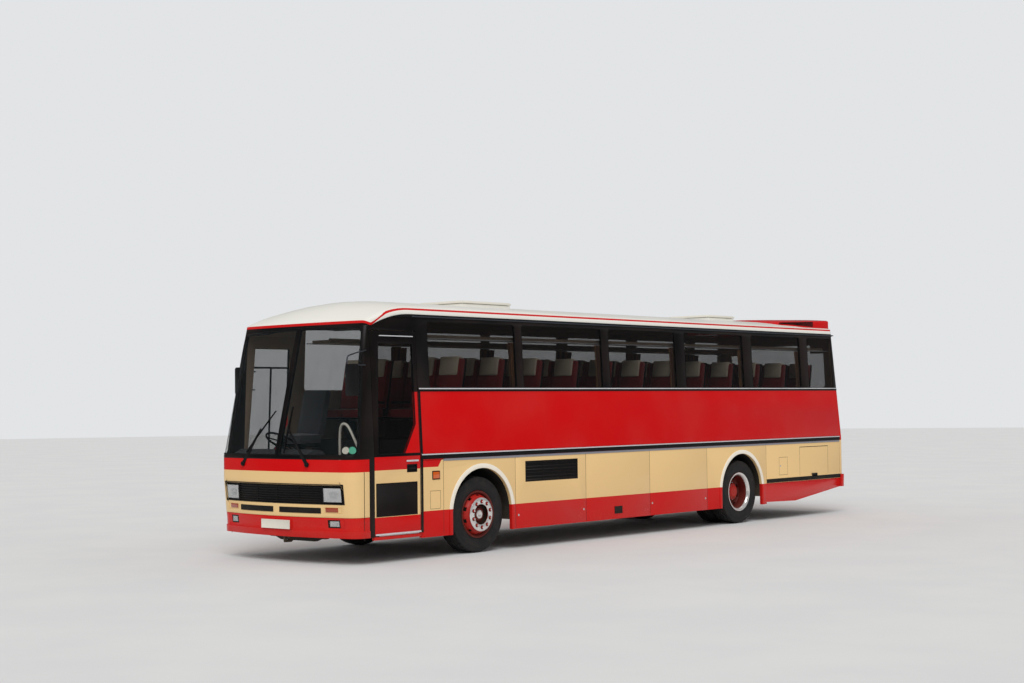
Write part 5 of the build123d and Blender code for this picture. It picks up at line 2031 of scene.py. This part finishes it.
    def curtains(self) -> None:
        """Pleated curtains drawn back at the pillars, ten sheets, and their rails."""
        places = [(y0, y1, hand) for y0, y1 in self.curtain_rows for hand in Hand]
        for number, (y0, y1, hand) in enumerate(places, 1):
            item = self.curtain(number, hand, y0, y1)
            settle(item, Slot.CURTAIN, "curtains")
        rail = tube("rail", [(1.096, -4.40, 2.785), (1.096, 5.66, 2.785)], 0.008, False, 1)
        item = joined("curtain_rails", both_sides([rail]))
        settle(coat(item, self.finishes.bright), Slot.BRIGHT)

    def driver_seat(self) -> None:
        """The driver's padded seat on its box and post."""
        shades, channels = self.finishes, self.driver_channels
        pad = self.stuffed("driver_pad", (-0.95, -5.06, 1.45), (-0.51, -4.68, 1.555), PAD_CUTS, channels)
        back = self.stuffed("driver_back", (-0.95, 0.0, 1.57), (-0.51, 0.09, 2.16), BACK_CUTS, channels)
        moved(back, at(0, -4.72, 1.57) @ rotation(-13, "X") @ at(0, 0, -1.57))
        cushions = [coat(part, shades.driver_cloth, 60) for part in (pad, back)]
        cushion = settle(joined("driver_cushions", cushions), Slot.MOQUETTE, "driver_seat")
        box = block("seat_box", (-0.93, -5.04, 1.40), (-0.53, -4.68, 1.448), 0.01)
        post = block("seat_post", (-0.785, -4.945, 0.962), (-0.675, -4.785, 1.40), 0.02, ((2, 3),))
        base = [coat(box, shades.plastic), coat(post, shades.steel)]
        settle(joined("driver_seat_base", base), Slot.PLASTIC)

    def steering_wheel(self) -> None:
        """Rim, three spokes, hub and column."""
        pick()
        bpy.ops.mesh.primitive_torus_add(
            major_radius=0.225, minor_radius=0.0145, major_segments=56, minor_segments=14
        )
        parts = [bpy.context.object]
        hub = turned("hub", ((-0.02, 0.054), (0.012, 0.053), (0.02, 0.04), (0.022, 0.0)), 32)
        column = turned("column", ((-0.40, 0.034), (-0.30, 0.030), (-0.03, 0.026), (-0.02, 0.03)), 24)
        parts += [moved(part, rotation(-90, "Y")) for part in (hub, column)]
        for degrees in (90, 210, 330):
            spoke = block("spoke", (0.03, -0.017, -0.006), (0.222, 0.017, 0.005), 0.004, ((0, 3),))
            parts.append(moved(spoke, rotation(degrees, "Z")))
        for part in parts:
            coat(moved(part, at(-0.73, -5.165, 1.475) @ rotation(-32, "X")), self.finishes.plastic)
        settle(joined("steering_wheel_rim", parts), Slot.PLASTIC, "steering_wheel")

    def cab(self) -> None:
        """Dashboard and the handrail at the entry."""
        dash = coat(taken_over("dashboard", "dashboard_moulding", 0.012), self.finishes.grey_plastic)
        settle(dash, Slot.PLASTIC, "dashboard")
        line = [
            (0.56, -5.34, 1.16), (0.60, -5.38, 1.52), (0.67, -5.43, 1.70),
            (0.78, -5.45, 1.72), (0.87, -5.46, 1.66), (1.04, -5.46, 1.38),
        ]
        rail = tube("entry_handrail", line, 0.016)
        settle(coat(rail, self.finishes.white_plate), Slot.BRIGHT)

    def build(self) -> None:
        """Build the inside."""
        shades = self.finishes
        self.passenger_seats()
        self.curtains()
        self.driver_seat()
        self.steering_wheel()
        self.cab()
        for node, material in (
            ("saloon_floor", shades.floor), ("luggage_racks", shades.lining),
            ("luggage_bay", shades.chassis), ("rear_locker", shades.chassis), ("arch_liners", shades.chassis),
        ):
            keep(node, material)


@dataclass
class RunningGear:
    """Wheels, tyres, axles, chassis and engine."""

    finishes: Finishes
    front: float = -3.48
    rear: float = 2.69
    plane: float = 1.06
    twin: float = 0.74
    height: float = 0.5
    proud: float = 0.07
    recess: float = 0.072
    steps: int = 120
    nut_circle: float = 0.1675
    nuts_each: int = 10
    hand_holes: int = 10
    hole_inner: float = 0.235
    hole_outer: float = 0.250

    def tyre(self) -> Piece:
        """Make a tyre: sidewalls with raised bands, grooves and cut shoulder blocks."""
        half = [
            (0.111, 0.291), (0.1125, 0.309), (0.119, 0.313), (0.1255, 0.323), (0.1275, 0.330),
            (0.1305, 0.332), (0.1325, 0.346), (0.1365, 0.365), (0.1382, 0.368), (0.1395, 0.390),
            (0.1398, 0.412), (0.1385, 0.430), (0.1362, 0.433), (0.1335, 0.447), (0.1285, 0.468),
            (0.1265, 0.478), (0.121, 0.486), (0.112, 0.4898), (0.104, 0.4915), (0.090, 0.4935),
            (0.0865, 0.4815), (0.0755, 0.4815), (0.072, 0.4955), (0.050, 0.4972), (0.0325, 0.4982),
            (0.029, 0.4860), (0.019, 0.4860), (0.0155, 0.4992), (0.0, 0.4995),
        ]
        profile = [(-offset, radius) for offset, radius in half] + half[-2::-1]
        item = turned("tyre", profile, self.steps, True)
        wave = 2 * math.pi / self.steps

        def place(centre: Vector) -> tuple[int, float, float]:
            """Return a face's step round the tyre, its radius and its offset."""
            step = int(math.atan2(centre.z, centre.y) // wave)
            return step, math.hypot(centre.y, centre.z), abs(centre.x)

        def shoulder_gap(centre: Vector, normal: Vector) -> bool:
            """Pick every third tread face across the shoulders."""
            step, reach, offset = place(centre)
            return step % 3 == 0 and reach > 0.484 and 0.091 < offset < 0.127

        def sipe(centre: Vector, normal: Vector) -> bool:
            """Pick faces for the short cuts on the middle ribs."""
            step, reach, offset = place(centre)
            return step % 3 == 1 and reach > 0.495 and 0.034 < offset < 0.071

        zigzag = (0.0028, 0.0028, -0.0028, -0.0028)
        for vertex in item.data.vertices:
            if 0.012 < abs(vertex.co.x) < 0.095 and math.hypot(vertex.co.y, vertex.co.z) > 0.48:
                step = round(math.atan2(vertex.co.z, vertex.co.y) / wave)
                vertex.co.x += zigzag[step % len(zigzag)]
        for rule, rim, depth in ((shoulder_gap, 0.003, 0.007), (sipe, 0.0045, 0.005)):
            choose_faces(item, rule)
            bpy.ops.mesh.inset(thickness=rim, depth=-depth)
            close_edit()
        return coat(item, self.finishes.tyre, 28)

    def rim(self) -> Piece:
        """Make a wheel rim with its well and rolled lips."""
        well = (
            (0.126, 0.306), (0.122, 0.309), (0.117, 0.3075), (0.115, 0.300), (0.114, 0.2905), (0.07, 0.286),
        )
        back = ((0.1262, 0.298), (0.122, 0.285), (0.112, 0.276), (0.085, 0.266), (0.03, 0.262))
        profile = [(-offset, radius) for offset, radius in well] + list(reversed(well))
        profile += list(back) + [(-offset, radius) for offset, radius in reversed(back)]
        # The rim takes the darkened wheel red: painted shade in the well beside the tyre
        return coat(turned("rim", profile, 96, True), self.finishes.dark_rim, 40)

    def disc(self, profile: Profile, material: Shade) -> Piece:
        """Make a wheel disc as one pressed sheet with hand holes.

        Args:
            profile: Offset and radius from the rim inwards.
            material: Its paint.

        Returns:
            The disc.
        """
        item = turned("disc", profile, self.steps, False)
        share = self.steps // self.hand_holes

        def cap(centre: Vector, normal: Vector) -> bool:
            """Pick the faces that close the two open ends."""
            return math.hypot(centre.y, centre.z) < 0.01

        def hole(centre: Vector, normal: Vector) -> bool:
            """Pick the faces of the hand holes."""
            reach = math.hypot(centre.y, centre.z)
            turn = (math.atan2(centre.z, centre.y) / (2 * math.pi) * self.steps) % share
            return self.hole_inner < reach < self.hole_outer and abs(turn - share / 2) < share * 0.16

        for rule in (cap, hole):
            choose_faces(item, rule)
            bpy.ops.mesh.delete(type="FACE")
            close_edit()
        finish_modifier(item, "SOLIDIFY", thickness=0.010, offset=0.0)
        round_edges(item, 0.002, 2, False)
        return coat(item, material, 40)

    def nuts(self, offset: float, long: float) -> Piece:
        """Make the circle of wheel nuts with washers and stud ends.

        Args:
            offset: Where the washers lie along the axle.
            long: Length of a nut.

        Returns:
            The nuts.
        """
        shades = self.finishes
        foot, top, tip = 0.004, 0.004 + long, long + 0.014
        washer = turned("washer", ((0.0, 0.026), (0.003, 0.026), (foot, 0.024), (foot, 0.0)), 16)
        nut = turned("nut", ((foot, 0.0165), (foot + long * 0.8, 0.0165), (top, 0.0135), (top, 0.0)), 6)
        stud = turned("stud", ((long, 0.0095), (long + 0.012, 0.0095), (tip, 0.007), (tip, 0.0)), 12)
        # The washers take the darkened wheel red: painted shade round each nut
        parts = ((washer, shades.dark_rim), (nut, shades.red_wheel), (stud, shades.chrome))
        one = joined("nut", [coat(part, material, 30) for part, material in parts])
        return ring_of(moved(one, at(offset, 0, self.nut_circle)), self.nuts_each, "nuts")

    def front_wheel(self) -> Piece:
        """Make a front wheel: domed disc, bright nut ring and hub, with the drum behind."""
        shades = self.finishes
        sheet = (
            (0.070, 0.264), (0.094, 0.258), (0.132, 0.240), (0.160, 0.216), (0.172, 0.190),
            (0.175, 0.170), (0.175, 0.136),
        )
        guard = (
            (0.110, 0.218), (0.1135, 0.2195), (0.118, 0.215), (0.1225, 0.203), (0.124, 0.185),
            (0.1235, 0.150), (0.121, 0.139), (0.115, 0.133), (0.110, 0.134), (0.113, 0.150),
            (0.114, 0.190), (0.112, 0.210),
        )
        flange = (
            (0.094, 0.133), (0.104, 0.133), (0.106, 0.118), (0.100, 0.104), (0.118, 0.094),
            (0.140, 0.086), (0.146, 0.078), (0.146, 0.058), (0.150, 0.055), (0.150, 0.0),
        )
        cap = ((0.149, 0.056), (0.156, 0.056), (0.159, 0.052), (0.1595, 0.030), (0.157, 0.026), (0.157, 0.0))
        drum = ((0.02, 0.252), (0.048, 0.252), (0.054, 0.246), (0.054, 0.118))
        bolt = turned("bolt", ((0.10, 0.0085), (0.112, 0.0085), (0.114, 0.006), (0.114, 0.0)), 6)
        bolts = ring_of(moved(bolt, at(0, 0, 0.112)), 8, "flange_bolts")
        out = at(self.proud, 0, 0)
        sunk = at(self.proud - self.recess, 0, 0)
        parts = [
            self.rim(), self.disc(sheet, shades.red_wheel),
            moved(coat(turned("nut_guard", guard, 96, True), shades.chrome, 50), out),
            moved(self.nuts(0.1235, 0.014), out),
            # The sunk hub flange takes the darkened wheel red as painted shade
            moved(coat(turned("hub", flange, 64), shades.dark_rim, 40), sunk),
            moved(coat(turned("hub_cap", cap, 48), shades.chrome, 40), sunk),
            moved(coat(bolts, shades.steel), sunk), coat(turned("drum", drum, 64), shades.chassis, 40),
        ]
        return joined("front_wheel", parts)

    def rear_wheel(self) -> Piece:
        """Make a twin rear wheel: dished disc deep inside, bright outer lip and hub."""
        shades = self.finishes
        sheet = (
            (-0.052, 0.262), (-0.066, 0.256), (-0.080, 0.236), (-0.092, 0.212), (-0.099, 0.190),
            (-0.101, 0.170), (-0.101, 0.136),
        )
        lip = (
            (0.1245, 0.304), (0.1275, 0.3045), (0.1285, 0.299), (0.1245, 0.284), (0.113, 0.274),
            (0.086, 0.2645), (0.086, 0.2625), (0.113, 0.2715), (0.122, 0.281),
        )
        hub = (
            (-0.104, 0.138), (-0.092, 0.138), (-0.088, 0.128), (-0.020, 0.118), (-0.010, 0.126),
            (0.002, 0.126), (0.004, 0.118), (0.010, 0.100), (0.026, 0.086), (0.030, 0.070), (0.030, 0.0),
        )
        bolt = turned("bolt", ((0.001, 0.0095), (0.012, 0.0095), (0.014, 0.007), (0.014, 0.0)), 6)
        bolts = ring_of(moved(bolt, at(0, 0, 0.108)), 10, "shaft_bolts")
        inner = coat(moved(self.rim(), at(self.twin - self.plane, 0, 0)), shades.red_wheel, 40)
        web = turned("inner_web", ((-0.222, 0.262), (-0.205, 0.262), (-0.205, 0.0)), 64)
        tail = turned("inner_hub", ((-0.42, 0.108), (-0.21, 0.108)), 48)
        parts = [
            # The deep disc takes the darkened wheel red as painted shade
            self.rim(), self.disc(sheet, shades.dark_rim),
            coat(turned("bright_lip", lip, 96, True), shades.chrome, 50), self.nuts(-0.096, 0.018),
            coat(turned("hub", hub, 64), shades.red_wheel, 40), coat(bolts, shades.steel),
            inner, coat(web, shades.red_wheel, 40), coat(tail, shades.chassis, 40),
        ]
        return joined("rear_wheel", parts)

    def wheels(self) -> None:
        """Place all the wheels and tyres."""
        tyre = self.tyre()
        front = self.front_wheel()
        rear = self.rear_wheel()
        for hand in Hand:
            fore = hand.flip @ at(self.plane, self.front, self.height)
            aft = hand.flip @ at(self.plane, self.rear, self.height)
            inner = hand.flip @ at(self.twin, self.rear, self.height)
            word = hand.word
            single = copied(tyre, fore, f"front_treaded_tyre_{word}")
            twins = joined(f"rear_treaded_tyres_{word}", [copied(tyre, aft), copied(tyre, inner)])
            steered = copied(front, fore, f"front_wheel_set_{word}")
            driven = copied(rear, aft, f"rear_wheel_set_{word}")
            settle(single, Slot.TYRE, f"front_tyre_{word}")
            settle(twins, Slot.TYRE, f"rear_tyres_{word}")
            settle(steered, Slot.WHEEL, f"front_wheel_{word}")
            settle(driven, Slot.WHEEL, f"rear_wheel_{word}")
        for part in (tyre, front, rear):
            bpy.data.objects.remove(part)

    def front_stay(self) -> None:
        """The cross piece under the front bumper, on two hangers."""
        stay = block("front_stay", (-0.52, -5.56, 0.25), (0.52, -5.49, 0.315), 0.006, ((0, 9),))
        for vertex in stay.data.vertices:
            vertex.co.z += 0.035 if abs(vertex.co.x) > 0.40 and vertex.co.z < 0.28 else 0.0
        parts = [stay]
        for x in (-0.385, 0.325):
            parts.append(block("hanger", (x, -5.55, 0.30), (x + 0.06, -5.50, 0.43), 0.004))
        settle(coat(joined("front_stay", parts), self.finishes.plastic), Slot.CHASSIS)

    def build(self) -> None:
        """Build the running gear."""
        self.wheels()
        shades = self.finishes
        for node, name, material, slot in (
            ("chassis_frame", "chassis_rails", shades.chassis, Slot.CHASSIS),
            ("front_axle", "front_axle_beam", shades.chassis, Slot.CHASSIS),
            ("rear_axle", "rear_axle_casing", shades.chassis, Slot.CHASSIS),
            ("knuckle_left", "stub_axle_left", shades.steel, Slot.CHASSIS),
            ("knuckle_right", "stub_axle_right", shades.steel, Slot.CHASSIS),
            ("engine", "engine_block", shades.engine, Slot.ENGINE),
            ("towing_eyes", "towing_eye_plates", shades.chassis, Slot.CHASSIS),
        ):
            item = coat(taken_over(node, name, 0.003), material)
            settle(item, slot, node)
        self.front_stay()


@dataclass
class Studio:
    """Pale floor and surroundings, soft light, and the camera at the photograph's place."""

    azimuth: float = 41.098
    pitch: float = 2.185
    roll: float = -0.652
    focal: float = 1638.8
    width: float = 1024.0
    stand: Point = (15.669, -19.368, 1.934)
    ambient: float = 0.62
    gloss: tuple[int, int, int] = (138, 140, 144)
    backdrop: tuple[int, int, int] = (226, 228, 230)
    sun: float = 1.5
    softness: float = 35.0
    aim: Point = (-0.55, 0.62, -1.0)
    floor_radius: float = 90.0
    sensor: float = 36.0
    sight: float = 400.0

    def world(self) -> None:
        """Even light, with a pale background for the camera, gloss and glass."""
        world = bpy.data.worlds.new("studio")
        world.use_nodes = True
        bpy.context.scene.world = world
        board = Board(world.node_tree)
        path = board.node("ShaderNodeLightPath").outputs
        seen = board.math("MAXIMUM", path["Is Camera Ray"], path["Is Transmission Ray"])
        shine = board.mix(path["Is Glossy Ray"], (1.0, 1.0, 1.0, 1.0), tint(*self.gloss))
        light = board.value("ShaderNodeBackground", {0: shine, 1: self.ambient})
        pale = board.value("ShaderNodeBackground", {0: tint(*self.backdrop), 1: 1.0})
        blend = board.value("ShaderNodeMixShader", {0: seen, 1: light, 2: pale})
        board.feed(board.node("ShaderNodeOutputWorld").inputs[0], blend)

    def lights(self) -> None:
        """One wide soft sun from over the camera's left shoulder."""
        pick()
        bpy.ops.object.light_add(type="SUN", location=(8, -12, 14))
        lamp = bpy.context.object
        lamp.name = "soft_daylight"
        lamp.data.energy = self.sun
        lamp.data.angle = math.radians(self.softness)
        lamp.rotation_euler = Vector(self.aim).to_track_quat("-Z", "Y").to_euler()

    def floor(self) -> None:
        """Plain pale floor with a faint grain."""
        pick()
        bpy.ops.mesh.primitive_circle_add(vertices=96, radius=self.floor_radius, fill_type="NGON")
        item = bpy.context.object
        item.name = "studio_floor"
        item.data.materials.append(Ground("studio_floor").make())

    def camera(self) -> None:
        """Camera at the photograph's place and angle."""
        turn, up, roll = (math.radians(value) for value in (self.azimuth, self.pitch, self.roll))
        forward = Vector((-math.sin(turn) * math.cos(up), math.cos(turn) * math.cos(up), math.sin(up)))
        right = Vector((math.cos(turn), math.sin(turn), 0))
        over = right.cross(forward)
        across = right * math.cos(roll) + over * math.sin(roll)
        above = over * math.cos(roll) - right * math.sin(roll)
        data = bpy.data.cameras.new("camera")
        data.sensor_width = self.sensor
        data.lens = self.focal * data.sensor_width / self.width
        data.clip_end = self.sight
        item = bpy.data.objects.new("camera", data)
        bpy.context.scene.collection.objects.link(item)
        aim = Matrix((across, above, -forward)).transposed().to_4x4()
        item.matrix_world = at(*self.stand) @ aim
        bpy.context.scene.camera = item

    def build(self) -> None:
        """Set up the studio."""
        self.world()
        self.lights()
        self.floor()
        self.camera()
        bpy.context.scene.view_settings.view_transform = "Standard"


def main() -> None:
    """Build the coach and its studio."""
    logging.basicConfig(level=logging.INFO, format="%(message)s")
    finishes = Finishes()
    Studio().build()
    for assembly in (
        BodyShell(finishes), Windows(finishes), FrontFace(finishes), SideFittings(finishes),
        RearFace(finishes), Saloon(finishes), RunningGear(finishes),
    ):
        LOG.info("building %s", type(assembly).__name__)
        assembly.build()


if __name__ == "__main__":
    main()
